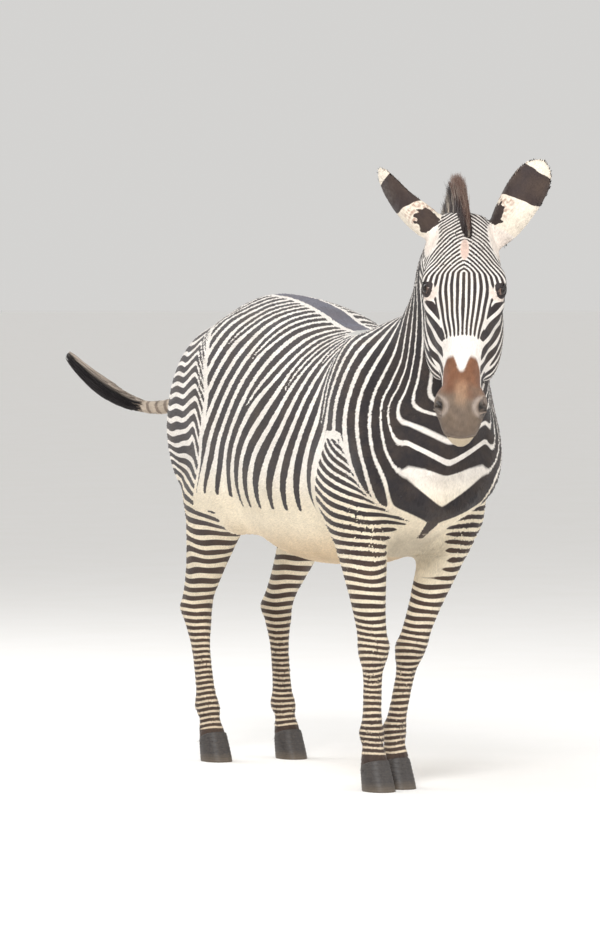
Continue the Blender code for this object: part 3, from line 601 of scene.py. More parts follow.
def new_object(name, content):
    """A scene object from a mesh, or from a bmesh, which is used up."""
    mesh = content
    if isinstance(content, bmesh.types.BMesh):
        bmesh.ops.recalc_face_normals(content, faces=content.faces)
        mesh = bpy.data.meshes.new(name)
        content.to_mesh(mesh)
        content.free()
    obj = bpy.data.objects.new(name, mesh)
    bpy.context.scene.collection.objects.link(obj)
    return obj


def bake(obj):
    """Gives the object the mesh that its modifiers make, and drops them."""
    bpy.context.view_layer.update()
    graph = bpy.context.evaluated_depsgraph_get()
    mesh = bpy.data.meshes.new_from_object(obj.evaluated_get(graph))
    obj.modifiers.clear()
    obj.data = mesh


def points_of(mesh, value="co"):
    found = np.empty(len(mesh.vertices) * 3)
    mesh.vertices.foreach_get(value, found)
    return found.reshape(-1, 3)


def normals_of(mesh):
    return points_of(mesh, "normal")


def corners_of(mesh):
    """The point number at each corner of each face."""
    found = np.empty(len(mesh.loops), np.int32)
    mesh.loops.foreach_get("vertex_index", found)
    return found


def set_points(mesh, points):
    mesh.vertices.foreach_set("co", np.asarray(points, np.float32).ravel())
    mesh.update()


def mesh_from(name, points, triangles):
    """A mesh from rows of points and rows of three point numbers."""
    mesh = bpy.data.meshes.new(name)
    mesh.vertices.add(len(points))
    mesh.vertices.foreach_set("co", np.asarray(points, np.float32).ravel())
    mesh.loops.add(triangles.size)
    mesh.loops.foreach_set("vertex_index", np.asarray(triangles, np.int32).ravel())
    mesh.polygons.add(len(triangles))
    mesh.polygons.foreach_set("loop_start", np.arange(0, triangles.size, 3, dtype=np.int32))
    mesh.update(calc_edges=True)
    return mesh


def set_values(mesh, name, values):
    """Stores a number, a colour, or four numbers for each point."""
    colour = values.ndim == 2
    layer = mesh.attributes.new(name, "FLOAT_COLOR" if colour else "FLOAT", "POINT")
    if colour and values.shape[1] == 3:
        values = np.column_stack([values, np.ones(len(values))])
    layer.data.foreach_set("color" if colour else "value", np.asarray(values, np.float32).ravel())


# ---------------------------------------------------------------- the face's small forms
EYE_OUT = unit((-0.05, 0.86, 0.42))  # the way the left eye looks, down the face, aside and out
EYE_SLIT = np.array([0.93, 0.0, 0.36])  # the way its slit runs, before it is laid square to that
LID_THICKNESS = 0.0040


def eye_frame(side):
    """Centre of an eye, and unit vectors along its slit, across it and out of it."""
    outward = unit(EYE_OUT * (1, side, 1) @ HEAD)
    along = unit(EYE_SLIT @ HEAD)
    along = unit(along - outward * (along @ outward))
    centre = on_head(*EYE * (1, side, 1))
    return centre, along, np.cross(outward, along), outward


def face_details():
    """Lids round each eye and their opening, nostrils, and the folds beside them."""
    forms = []
    for side in (1, -1):
        centre, along, across, outward = eye_frame(side)
        axes = np.array([along, across, outward])
        lid = EYE_RADIUS + LID_THICKNESS
        forms.append(Mass(centre + outward * 0.0010, (lid * 1.06, lid, lid), axes, blend=0.014))
        slit = centre + outward * 0.021 - along * 0.001
        forms.append(Mass(slit, (0.0175, 0.0098, 0.014), axes, blend=0.0035, carve=True))
    forms += head_mass(0.548, 0.056, -0.024, (0.020, 0.012, 0.012), turn=25, blend=0.012)  # nostril's roof
    forms += head_mass(0.578, 0.0690, -0.028, (0.024, 0.013, 0.0125), turn=18, blend=0.007, carve=True)
    forms += head_mass(0.592, 0.064, -0.044, (0.014, 0.012, 0.014), turn=30, blend=0.008, carve=True)
    return forms


def mouth_gap(points):
    """How far a place is above the line between the lips, and how strongly the line shows there."""
    t, u, v = head_places(points)
    line = -0.082 - 0.28 * np.clip(0.655 - t, 0, None) - 0.020 * (u / 0.05) ** 2
    on_lips = (t > 0.545) & (t < 0.72)
    return np.where(on_lips, v - line, 1.0), np.clip((t - 0.545) / 0.03, 0, 1)


# ---------------------------------------------------------------- skin
def skin_forms():
    forms = trunk_forms() + neck_forms() + head_forms()
    forms += [leg_form(name) for name in LEGS]
    return forms + tail_forms() + [Ear(name) for name in EARS]


def in_ball(points, centre, radius):
    return ((points - centre) ** 2).sum(1) < radius**2


def split_edges(skin, chosen, **options):
    """Cuts each edge that chosen() picks in two, and leaves only triangles."""
    bm = bmesh.new()
    bm.from_mesh(skin.data)
    bmesh.ops.subdivide_edges(bm, edges=[e for e in bm.edges if chosen(e)], cuts=1, **options)
    bmesh.ops.triangulate(bm, faces=[f for f in bm.faces if len(f.verts) > 3])
    bm.to_mesh(skin.data)
    bm.free()


def refine(skin, places):
    """Splits the edges within reach of some places: (centre, radius) each."""
    points = points_of(skin.data)
    close = np.any([in_ball(points, centre, radius) for centre, radius in places], axis=0)
    split_edges(skin, lambda e: close[e.verts[0].index] and close[e.verts[1].index], use_grid_fill=True)


def on_head_or_ears(points):
    """Whether each place is on the head or the ears."""
    t, _, v = head_places(points)
    return (t > -0.30) & (t < 0.72) & (v > -0.27) & (points[:, 2] > 1.0)


def split_long_edges(skin):
    """Splits edges until none is long for the stripes that it has to carry."""
    for _ in range(3):
        points = points_of(skin.data)
        limit = np.where(points[:, 2] < 0.66, 0.0078, 0.0135)  # shorter on the legs than on the body
        limit[on_head_or_ears(points)] = 0.0068
        for share in leg_shares(points, 0.025):
            limit[(share > 0.02) & (share < 0.98)] = 0.0050  # shortest where two sets of bars meet
        split_edges(skin, lambda e: e.calc_length() > limit[e.verts[0].index])


def coat_depth(points):
    """How far the skin lies inside the solids: the coat's depth, but less on the ears' thin walls."""
    depth = np.full(len(points), COAT_DEPTH)
    for name in EARS:
        ear = Ear(name)
        close = in_box(points, ear.low, ear.high)
        s = ear.local(points[close])[0]
        share = ease(ear.distance(points[close]), 0.012, 0.004) * ease(s, 0.05, 0.25)
        depth[close] -= (COAT_DEPTH - EAR_COAT_DEPTH) * share
    return depth


def settle_skin(skin, forms, rounds):
    points = points_of(skin.data)
    set_points(skin.data, settle(points, forms, coat_depth(points), rounds))


def make_skin():
    """One closed skin for all the flesh, its points inside the blended form by the coat's depth."""
    forms = skin_forms()
    bm = bmesh.new()
    for form in forms:
        form.mesh(bm)
    skin = new_object("skin", bm)
    remesh = skin.modifiers.new("join", "REMESH")
    remesh.mode = "VOXEL"
    remesh.voxel_size = VOXEL
    bake(skin)
    settle_skin(skin, forms, rounds=3)
    fine = on_head_or_ears(points_of(skin.data))
    group = skin.vertex_groups.new(name="thinned")
    group.add(np.flatnonzero(~fine).tolist(), 1.0, "REPLACE")
    group.add(np.flatnonzero(fine).tolist(), HEAD_THINNING, "REPLACE")
    fewer = skin.modifiers.new("fewer", "DECIMATE")
    fewer.ratio = SKIN_TRIANGLES / sum(len(p.vertices) - 2 for p in skin.data.polygons)
    fewer.use_collapse_triangulate = True
    fewer.vertex_group = "thinned"
    fewer.vertex_group_factor = 1.0
    bake(skin)
    skin.vertex_groups.clear()
    split_long_edges(skin)
    settle_skin(skin, forms, rounds=2)
    shape_face(skin, forms)
    drop_doubles(skin)
    skin.data.shade_smooth()
    return skin


def drop_doubles(skin):
    """Leaves out triangles that the splits made twice, always the later ones, so each run gives the same."""
    triangles = corners_of(skin.data).reshape(-1, 3)
    _, first = np.unique(np.sort(triangles, axis=1), axis=0, return_index=True)
    skin.data = mesh_from("skin", points_of(skin.data), triangles[np.sort(first)])


def shape_face(skin, forms):
    """Closer points round the eyes, nostrils and lips, settled onto the small forms there."""
    eyes = [(eye_frame(side)[0], 0.040) for side in (1, -1)]
    nostrils = [(on_head(0.578, side * 0.066, -0.040), 0.040) for side in (1, -1)]
    lips = [(on_head(0.625, 0, -0.100), 0.075)]
    refine(skin, eyes + nostrils + lips)
    refine(skin, [(eye_frame(side)[0], 0.033) for side in (1, -1)])
    points = points_of(skin.data)
    close = np.flatnonzero(in_ball(points, on_head(0.40, 0, -0.08), 0.42))
    every = forms + face_details()
    shaped = settle(points[close], every, coat_depth(points[close]), rounds=6)
    gap, share = mouth_gap(shaped)
    normals = normals_of(skin.data)[close]
    furrow = 0.0050 * share * np.exp(-((gap / 0.0035) ** 2))
    points[close] = shaped - normals * furrow[:, None]
    set_points(skin.data, points)


# ---------------------------------------------------------------- markings
def srgb(red, green, blue):
    """A colour given as screen values from 0 to 255, as Blender's linear one."""
    c = np.array([red, green, blue]) / 255
    return np.where(c < 0.04045, c / 12.92, ((c + 0.055) / 1.055) ** 2.4)


def ease(x, low, high):
    """0 below low, 1 above high, and a smooth step between; low may be the larger."""
    t = np.clip((x - low) / (high - low), 0, 1)
    return t * t * (3 - 2 * t)


def along_curve(x, knots):
    """A smooth curve through (x, value) knots, level beyond the first and the last."""
    at, value = smooth_curve(knots)
    return np.interp(x, at, value[:, 0])


def ripple(points, wavelength, seed):
    """Slow, smooth unevenness from -1 to 1, so that no two stripes are quite alike."""
    turn = np.random.default_rng(seed)
    total = np.zeros(len(points))
    for _ in range(5):
        way = unit(turn.normal(size=3)) * turn.uniform(0.6, 1.6) / wavelength
        total += np.sin(2 * math.pi * (points @ way + turn.random()))
    return total / 3


def bars(number, cover, spacing):
    """Rows for black bars with a pale line on each whole number: cosine and sine of a wave, level, spacing.

    cover is the black share of each spacing, which is in metres. Rows of two patterns blend by weights.
    """
    level = np.cos(math.pi * np.clip(cover, 0, 1)) - 3 * np.minimum(cover, 0) - 3 * np.maximum(cover - 1, 0)
    turn = 2 * math.pi * number
    return np.stack(np.broadcast_arrays(np.cos(turn), np.sin(turn), level, spacing), -1)


def mixed(share, first, second):
    """The second where share is 1 and the first where it is 0; rows, or colours."""
    return first + (second - first) * np.asarray(share)[:, None]


def paler(rows, share):
    """Takes the black away where share is 1."""
    rows[:, 2] += 4 * share


def darker(rows, level):
    """Adds black; a level of 2 or more leaves nothing pale."""
    rows[:, 2] -= level


WHITE = srgb(244, 239, 233)
CREAM = srgb(238, 226, 202)
BELLY_SHADE_OCHRE = srgb(206, 178, 138)
BLACK_BROWN = srgb(50, 44, 46)
NECK_BLACK = srgb(38, 33, 36)
LEG_BLACK = srgb(62, 47, 41)
SLATE = srgb(98, 98, 112)  # the band along the spine: black lightened and blued by a painted sheen of the sky
RUST = srgb(124, 81, 56)
GREY_BROWN = srgb(112, 97, 84)

# Where pale lines cross the side, from the throat back to the rump, at the height where they are upright.
SIDE_LINES = [(-1.10, -9.0), (-0.92, -4.2), (-0.84, -2.1), (-0.76, 0.0), (-0.69, 3.0), (-0.60, 5.0)]
SIDE_LINES += [(-0.46, 7.0), (-0.275, 9.0), (-0.04, 12.0), (0.17, 15.0), (0.39, 18.0), (0.80, 25.0)]
SIDE_LINES += [(1.30, 34.0)]
# How far the lines lean forward as they climb, by the angle round the trunk in degrees, 90 at the spine.
LEAN = [(-60, -0.02), (-25, 0.0), (-8, 0.07), (8, 0.16), (28, 0.25), (45, 0.30), (60, 0.33), (90, 0.42)]
# Extra pale lines start inside a black bar: that bar's number, and the height of the fork.
FORKS_RIGHT = [(20.5, 1.32), (17.5, 1.28), (15.5, 1.14), (13.5, 1.19), (11.5, 1.25), (8.5, 1.10)]
FORKS_LEFT = [(19.5, 1.26), (16.5, 1.33), (14.5, 1.17), (12.5, 1.22), (10.5, 1.13), (8.5, 1.18)]
# The line on the haunch where the side's upright lines stop, as height and y.
HAUNCH_EDGE = [(0.70, 0.50), (0.90, 0.43), (1.00, 0.38), (1.15, 0.31), (1.25, 0.35), (1.35, 0.42)]
HAUNCH_EDGE += [(1.47, 0.66)]
ARCH_TOP = 0.085  # how far behind that line the haunch's arches are highest
# Metres from one pale line to the next on hind legs and forelegs, by height.
REAR_SPACING = [(0.0, 0.018), (0.35, 0.018), (0.48, 0.024), (0.62, 0.033), (0.8, 0.038), (0.95, 0.038)]
REAR_SPACING += [(1.1, 0.042), (1.25, 0.033), (1.45, 0.024)]
FORE_SPACING = [(0.0, 0.018), (0.35, 0.018), (0.46, 0.020), (0.60, 0.026), (0.80, 0.030), (1.3, 0.030)]
# How far forward the neck's and shoulder's bars swing, by height.
SHOULDER_SWING = [(0.6, -0.03), (0.78, 0.0), (0.86, 0.05), (0.95, 0.065), (1.03, 0.04), (1.14, 0.0)]
SHOULDER_SWING += [(1.33, 0.02), (1.6, 0.04)]
# The chest's chevrons: the height of each pale line at the middle, and its number.
CHEST_LINES = [(0.60, 6.0), (0.70, 5.0), (0.775, 4.0), (0.835, 3.5), (0.900, 3.0), (0.960, 2.5)]
CHEST_LINES += [(0.988, 2.0), (1.015, 1.5), (1.05, 1.0), (1.12, 0.3), (1.25, -1.0)]
CHEST_COVER = [0.0, 0.30, 0.55, 0.45, 0.20, 0.20, 0.60, 0.80]  # black share, from low to high
# How far the bars fall for each metre forwards, on the thigh and on the shoulder, by height.
THIGH_SLANT = [(0.5, -0.10), (0.66, 0.02), (0.78, 0.16), (0.9, 0.38), (1.1, 0.45)]
SHOULDER_SLANT = [(0.3, -0.05), (0.5, 0.05), (0.72, 0.10), (0.86, 0.30), (1.1, 0.95)]
# Metres between the forehead's arches, by metres down the face.
BROW_SPACING = [(0, 0.0120), (0.1, 0.0135), (0.164, 0.0150), (0.22, 0.0170), (0.30, 0.0145)]
BROW_SPACING += [(0.356, 0.0118), (0.45, 0.0100)]
# How far to the side the forehead's arches reach, by metres down the face.
RIDGE_T = [0.0, 0.18, 0.21, 0.25, 0.30, 0.36, 0.42]
RIDGE_ASIDE = [0.20, 0.18, 0.118, 0.088, 0.070, 0.052, 0.040]


def count_up(height, spacings):
    """How many spacings lie between the floor and a height, where the spacing changes with height."""
    z = np.linspace(-0.2, 2.0, 900)
    per_metre = 1 / along_curve(z, spacings)
    count = np.concatenate([[0], np.cumsum(0.5 * (per_metre[1:] + per_metre[:-1]) * np.diff(z))])
    return np.interp(height, z, count), 1 / np.interp(height, z, per_metre)


def side_bars(points):
    """The upright bars of flank, shoulder and neck, which meet as chevrons down the chest."""
    x, y, z = points.T
    round_trunk = np.degrees(np.arctan2(z - TRUNK_AXIS_Z, np.abs(x) * 1.25))
    share = ease(y, -0.72, -0.05)
    swing = along_curve(z, SHOULDER_SWING) * ease(y, -0.50, -0.66)
    upright = y + share * along_curve(round_trunk, LEAN) + swing
    upright = upright + 0.009 * ripple(points, 0.45, 3)
    number = along_curve(upright, SIDE_LINES)
    for side, forks in ((-1, FORKS_RIGHT), (1, FORKS_LEFT)):
        for fork, height in forks:
            angle = np.degrees(np.arctan2(number - fork, (z - height) / 0.09))
            number = number + np.where(x * side > 0, ease(angle, -62, 62), 0)
    # Chevrons where both sides meet on the chest, whose middle lies 6 mm to the right.
    aside = np.abs(x + 0.006)
    middle = ease(aside, 0.185, 0.120) * ease(y, -0.56, -0.64) * ease(z, 1.22, 1.10)
    down = z - 0.52 * np.hypot(aside, 0.012)
    number = number + (along_curve(down, CHEST_LINES) - number) * middle
    spacing = np.interp(upright, [-0.9, -0.7, -0.5, -0.2, 0.5], [0.040, 0.035, 0.060, 0.070, 0.060])
    cover = np.interp(upright, [-0.80, -0.66, -0.58, -0.3, 0.6], [0.80, 0.78, 0.68, 0.64, 0.62])
    chest_cover = np.interp(down, [0.70, 0.77, 0.80, 0.84, 0.87, 0.94, 0.97, 1.02], CHEST_COVER)
    wider = 4.5 * aside * ease(down, 0.75, 0.84) * ease(down, 0.99, 0.96)
    chest_cover = np.minimum(chest_cover + wider, 0.84)
    cover = cover + (chest_cover - cover) * ease(aside, 0.19, 0.12) * ease(y, -0.60, -0.68)
    # The bars taper down to the white belly.
    belly = 0.80 + 0.07 * ease(y, -0.18, -0.38) + 0.035 * ease(y, 0.18, 0.36)
    taper = np.clip((z - belly - 0.006 * ripple(points, 0.12, 5)) / 0.17, 0, 1) ** 0.55
    taper = np.maximum(taper, ease(y, -0.46, -0.56))
    return bars(number, cover * taper - 0.02, spacing)


def rear_bars(points):
    """The haunch's nested arches, which turn into slanting bars on the thigh and rings on the leg."""
    _, y, z = points.T
    behind_top = y - along_curve(z, HAUNCH_EDGE) - ARCH_TOP
    high = ease(z, 0.90, 1.04)
    ahead = np.clip(-behind_top, 0, 0.12)
    arch = 17.0 * np.minimum(ahead, 0.030) ** 2 + 1.02 * np.clip(ahead - 0.030, 0, None)
    arch = arch + 0.30 * np.clip(behind_top, 0, 0.12)
    slanting = along_curve(z, THIGH_SLANT) * np.clip(0.62 - y, -0.05, 1)
    height = z + high * arch + (1 - high) * slanting + 0.005 * ripple(points, 0.16, 11)
    number, spacing = count_up(height, REAR_SPACING)
    cover = np.interp(z, [0.1, 0.4, 0.8, 1.0, 1.3], [0.62, 0.58, 0.56, 0.60, 0.60])
    return bars(number, cover, spacing)


def fore_bars(points):
    """The shoulder's slanting bars, which turn into rings down the foreleg."""
    _, y, z = points.T
    slant = along_curve(z, SHOULDER_SLANT)
    height = z + slant * (-0.45 - y) + 0.005 * ripple(points, 0.14, 17)
    number, spacing = count_up(height, FORE_SPACING)
    cover = np.interp(z, [0.1, 0.4, 0.8, 1.0], [0.64, 0.58, 0.56, 0.60])
    return bars(number, cover, spacing)


def leg_shares(points, width=0.014):
    """How far each point has the haunch's bars, and the foreleg's; both ease in over twice the width."""
    x, y, z = points.T
    edge = along_curve(z, HAUNCH_EDGE)
    on_rear = ease(y - edge, -width, width)
    on_rear = np.maximum(on_rear, ease(z, 0.86, 0.80) * ease(y, 0.20, 0.26))
    top = 1.07 - 1.6 * np.clip(-0.53 - y, 0, None) - 2.2 * np.clip(y + 0.44, 0, None)
    on_fore = ease(top - z, -width, width) * ease(y, -0.34, -0.36) * ease(np.abs(x), 0.066, 0.080)
    on_fore = np.maximum(on_fore, ease(z, 0.74, 0.70) * ease(y, 0.0, -0.1))
    return on_rear, on_fore


def body_markings(points):
    """Bars, pale and dark colours of everything but head, ears and tail."""
    x, y, z = points.T
    on_rear, on_fore = leg_shares(points)
    rows = mixed(on_fore, mixed(on_rear, side_bars(points), rear_bars(points)), fore_bars(points))
    for share in (on_rear * (1 - on_fore), on_fore):
        paler(rows, 3.0 * 4 * share * (1 - share))  # a pale line where two sets of bars meet
    belly = 2 * ease(z, 0.83, 0.79) * ease(y, -0.42, -0.36) * ease(y, 0.36, 0.28)
    paler(rows, belly)
    inner = ease(np.abs(x), 0.10, 0.05) * ease(z, 0.60, 0.72) * ease(z, 0.96, 0.86)
    paler(rows, inner * ease(np.abs(y), 0.30, 0.42) * ease(y, -0.68, -0.62))
    narrow = np.abs(x) + 0.010 * ripple(points, 0.05, 29)  # the place between the forelegs, bare of bars and greyed with painted shade
    between = ease(narrow, 0.118, 0.060) * ease(y, -0.40, -0.44) * ease(z, 0.80, 0.74) * ease(z, 0.62, 0.70)
    paler(rows, between)
    narrowing = 0.004 + 0.010 * ease(z, 0.70, 0.80)  # of the black stem under the chest's chevrons
    stem = ease(np.abs(x + 0.008) - narrowing, 0.004, 0.0) * ease(z, 0.70, 0.73) * ease(z, 0.83, 0.81)
    darker(rows, 6 * stem * (y < -0.55))
    # Cream lower down and ochre on the belly's underside: painted shade where the body faces down.
    pale = mixed(ease(z, 1.0, 0.82), WHITE, CREAM)
    pale = mixed(0.8 * ease(z, 0.80, 0.68) * ease(np.abs(y + 0.05), 0.42, 0.34), pale, BELLY_SHADE_OCHRE)
    # Greyer between the forelegs: painted shade.
    pale = mixed(0.8 * between, pale, srgb(196, 186, 166))
    pale = mixed(0.5 * ease(z, 0.60, 0.30), pale, srgb(206, 184, 156))
    dark = mixed(ease(y, -0.50, -0.68), BLACK_BROWN, NECK_BLACK)
    dark = mixed(ease(z, 0.85, 0.70), dark, LEG_BLACK)

    # The slate band along the spine, its slate a painted sheen of the sky on black, with a white line on
    # each side, and the pale withers.
    spine = np.abs(x) - 0.034 - 0.006 * ripple(points, 0.3, 23)
    on_back = ((z > 1.30) & (y > -0.22) & (y < 0.72)).astype(float)
    paler(rows, on_back * ease(spine, 0.018, 0.013))
    darker(rows, 9 * on_back * ease(spine, 0.002, -0.002))
    # The band's slate colour is a painted sheen of the sky on black hair.
    dark = mixed(on_back * ease(spine, 0.006, 0.002), dark, SLATE)
    patch = np.hypot(x / 0.085, (y + 0.32) / 0.14) + 0.12 * ripple(points, 0.06, 53)
    withers = ease(patch, 1.15, 0.70) * ease(z, 1.28, 1.36)
    paler(rows, 4 * withers)
    pale = mixed(ease(withers, 0.0, 0.3), pale, srgb(196, 196, 194))
    darker(rows, 4 * ease(z, 0.105, 0.080))  # just above the hooves
    return rows, pale, dark


def head_markings(points):
    """Bars and colours of the head: arches on the forehead, slants on the cheeks, a plain muzzle."""
    t, u, v = head_places(points)
    aside = np.abs(u)
    # Arches on the forehead, nested round a point between the eyes.
    spacing = along_curve(t, BROW_SPACING)
    above = np.clip(0.176 - t, 0, None) / 0.0128
    nested = ((aside / spacing) ** 1.3 + above**1.3) ** (1 / 1.3) + 0.10 * ripple(points, 0.10, 31)
    rows = bars(nested + 0.5, 0.58, spacing)

    # Slanting bars on the side of the head, and lines along the jaw below them.
    round_side = aside + 0.9 * np.clip(-0.035 - v, 0, None)
    slants = (t + 0.9 * round_side) / 0.055 + 0.12 * ripple(points, 0.12, 37)
    jaw_lines = (0.45 * t - v) / 0.027 + 0.15 * ripple(points, 0.15, 41)
    cheek = mixed(ease(v, -0.118, -0.138), bars(slants, 0.64, 0.041), bars(jaw_lines, 0.62, 0.026))
    ridge = np.interp(t, RIDGE_T, RIDGE_ASIDE)
    rows = mixed(ease(round_side - ridge, -0.004, 0.004), rows, cheek)

    # No bars on the muzzle, and a pale patch on the crown.
    ragged = 0.006 * ripple(points, 0.020, 45)
    bare = ease(t + ragged, 0.360, 0.392) * ease(round_side, 0.068, 0.052)
    bare = bare + ease(t - 0.050 * ease(round_side, 0.050, 0.085), 0.425, 0.445)
    paler(rows, np.clip(bare, 0, 1))
    pale = np.tile(WHITE, (len(t), 1))
    crown = ease(np.hypot(u / 0.012, (t - 0.105) / 0.030), 1.3, 0.8) * (v > -0.06)
    pale = mixed(crown, pale, srgb(222, 196, 184))
    paler(rows, 0.5 * crown)

    # The brown nose, which climbs to a peak on each side, and pale lips.
    peaks = 0.428 + 0.048 * ease(np.abs(aside - 0.033), 0.006, 0.030)
    peaks = peaks + 0.05 * ease(round_side, 0.062, 0.090)
    brown = ease(t, peaks - 0.004, peaks + 0.010)
    nose = mixed(ease(t + 0.01 * ripple(points, 0.05, 47), 0.500, 0.575), RUST, GREY_BROWN)
    streak = ease(np.abs(u), 0.026, 0.006) * ease(t, 0.495, 0.53) * ease(t, 0.60, 0.55)
    nose = mixed(0.45 * streak, nose, srgb(196, 158, 126))
    nose = nose * (1 + 0.12 * ripple(points, 0.030, 43))[:, None]
    pale = mixed(brown, pale, nose)
    gap, share = mouth_gap(points)
    pale = mixed(0.8 * ease(gap, 0.012, 0.004) * ease(t, 0.60, 0.63), pale, srgb(158, 140, 124))
    pale = mixed(ease(gap, -0.003, -0.008) * ease(t, 0.53, 0.58), pale, srgb(206, 190, 164))
    # Dark nostrils in pale rings, their dark partly the skin's own and partly painted shade in the openings,
    # and dark rims round the eyes with a pale patch beside each.
    for side in (1, -1):
        from_nostril = np.linalg.norm(points - on_head(*NOSTRIL * (1, side, 1)), axis=1)
        pale = mixed(0.45 * np.exp(-(((from_nostril - 0.028) / 0.006) ** 2)), pale, srgb(196, 184, 176))
        # The dark nostril is partly dark skin and partly painted shade in its opening.
        pale = mixed(ease(from_nostril, 0.023, 0.016), pale, srgb(34, 28, 28))
        centre, along, _, outward = eye_frame(side)
        from_eye = points - centre
        away = np.linalg.norm(from_eye, axis=1)
        rim = ease(away, EYE_RADIUS + 0.0062, EYE_RADIUS + 0.0040) * ease(from_eye @ outward, 0.000, 0.006)
        darker(rows, 6 * rim)
        halo = ease(away, 0.042, 0.032) * (1 - rim) * ease(from_eye @ along, 0.000, 0.016)
        pale = mixed(0.7 * halo, pale, srgb(228, 211, 199))
        paler(rows, 0.4 * halo)
    pale = mixed(0.9 * share * np.exp(-((gap / 0.004) ** 2)), pale, srgb(52, 42, 40))  # the mouth's line, painted shade in the crease between the lips
    return rows, pale, np.tile(srgb(46, 39, 41), (len(t), 1))


def ear_markings(points, name):
    """Bars and colours of an ear: white tip, broad dark band, pale base with a dark patch by the crown."""
    s, angle, out, half, depth, wrap = Ear(name).local(points)
    medial = angle * (-1 if name == "ear_left" else 1)
    back = out > wall_middle(s, half, depth)
    uneven = 0.012 * ripple(points, 0.06, 51)
    low_edge = s + uneven + 0.03 * medial
    band = ease(low_edge, 0.50, 0.54) * ease(s + uneven, 0.895, 0.870)
    fray = 0.02 * ripple(points, 0.018, 57)
    base = ease(np.hypot((s - 0.23) / 0.15, (medial - 1.15) / 0.85) + 9 * (uneven + fray), 1.15, 0.85)
    rim = ease(np.abs(angle) - wrap, -0.22, -0.08) * ease(s, 0.35, 0.5) * ease(s, 0.92, 0.88)
    black = np.where(back, np.maximum(band, base), 0.8 * rim)
    rows = bars(np.zeros(len(s)), 1.5 * black, 0.02)
    rows[:, 2] = 1.6 - 4.2 * black
    pale = np.where(back[:, None], srgb(240, 230, 214), srgb(190, 172, 160))
    mottle = ease(ripple(points, 0.016, 53), -0.2, 0.6) * ease(s, 0.54, 0.46) * ease(s, 0.22, 0.32) * back
    pale = mixed(0.75 * mottle * ease(medial, -0.2, 0.5), pale, srgb(158, 112, 92))
    return rows, pale, np.tile(srgb(56, 44, 42), (len(s), 1))


def tail_markings(points):
    """The dock: pale grey-brown with short dark bars on its top."""
    along = points[:, 1] * 0.85 - points[:, 0] * 0.5 - points[:, 2] * 0.2
    rows = bars(along / 0.026 + 0.1 * ripple(points, 0.1, 61), 0.34, 0.026)
    pale = np.tile(srgb(196, 182, 166), (len(points), 1))
    return rows, pale, np.tile(srgb(142, 128, 116), (len(points), 1))


def markings(points, normals):
    """Bars, pale colour and dark colour for places on skin or coat, and the skin's normals there."""
    rows, pale, dark = body_markings(points)
    regions = region_of(points)
    for region in ("head", "tail", *EARS):
        here = regions == REGIONS.index(region)
        places = off_wall(points[here], normals[here], region)
        if region in EARS:
            rows[here], pale[here], dark[here] = ear_markings(places, region)
        elif region == "head":
            rows[here], pale[here], dark[here] = head_markings(places)
        else:
            rows[here], pale[here], dark[here] = tail_markings(places)
    for name in EARS:
        from_root = np.linalg.norm(points - Ear(name).root, axis=1)
        near = ease(from_root, 0.066, 0.048) * (regions < REGIONS.index("ear_left"))
        paler(rows, 1.2 * near)
        pale = mixed(0.5 * near, pale, srgb(236, 218, 204))
    tone = 1 + 0.05 * ripple(points, 0.25, 71) + 0.03 * ripple(points, 0.06, 73)
    return rows, np.clip(pale * tone[:, None], 0, 1), np.clip(dark * tone[:, None] ** 2, 0, 1)


def paint(mesh, rows, pale, dark):
    """Stores a mesh's markings, which the coat's material reads."""
    set_values(mesh, "bars", rows)
    set_values(mesh, "pale", pale)
    set_values(mesh, "dark", dark)


# ---------------------------------------------------------------- regions, and the unwrap
REGIONS = ["trunk", "neck", "head", "tail", *LEGS, *EARS]
NECK_START = 0.20  # along the neck's axis
HIND_LEG_TOP = 0.72
FORE_LEG_TOP = 0.70
MID_Y = 0.15  # between the forelegs and the hind legs


def region_of(points):
    """The number of the region in which each place on the skin lies."""
    x, y, z = points.T
    found = np.zeros(len(points), int)
    up_neck = (points - NECK_BASE) @ NECK_AXIS
    found[up_neck > NECK_START] = REGIONS.index("neck")
    t, _, v = head_places(points)
    behind = v + 0.33 * (t - 0.150) + 0.170
    found[(found == 1) & (behind > -0.02) & (v > -0.30)] = REGIONS.index("head")
    found[(y > 0.72) & (z > 1.05) & tail_side(points)] = REGIONS.index("tail")
    for name in LEGS:
        hind = "hind" in name
        left = "left" in name
        here = (z < (HIND_LEG_TOP if hind else FORE_LEG_TOP)) & ((y > MID_Y) == hind)
        here &= (x > 0) == left if hind else nearer_leg(points, left)
        found[here] = REGIONS.index(name)
    for name in EARS:
        ear = Ear(name)
        close = in_box(points, ear.low, ear.high)
        s = ear.local(points[close])[0]
        on = (ear.distance(points[close]) < 0.004) & (s > 0.16)
        found[close[on]] = REGIONS.index(name)
    return found


def tail_side(points):
    """Whether each place is nearer to the tail than to the buttocks."""
    line = curve_points(TAIL_POINTS, 30)
    away = [np.linalg.norm(points - (x, y, z), axis=1) - radius for x, y, z, radius in line]
    return np.min(away, axis=0) < 0.012


def nearer_leg(points, left):
    """Whether each place is nearer to the left foreleg's axis than to the right one's, or the reverse."""
    gaps = []
    for name in ("foreleg_left", "foreleg_right"):
        axis_x, axis_y = leg_axis(name, points[:, 2])
        gaps.append(np.hypot(points[:, 0] - axis_x, points[:, 1] - axis_y))
    return (gaps[0] < gaps[1]) == left


def off_wall(points, normals, name):
    """Places on an ear's thin wall moved well to their own side of it; other places as they are."""
    return points + 0.003 * normals if name in EARS else points


def capsule(axial, radial, low, high, radius):
    """Length along a form whose ends round over below low and above high."""
    within = np.clip(axial, low, high)
    return within + radius * np.arctan2(axial - within, radial)


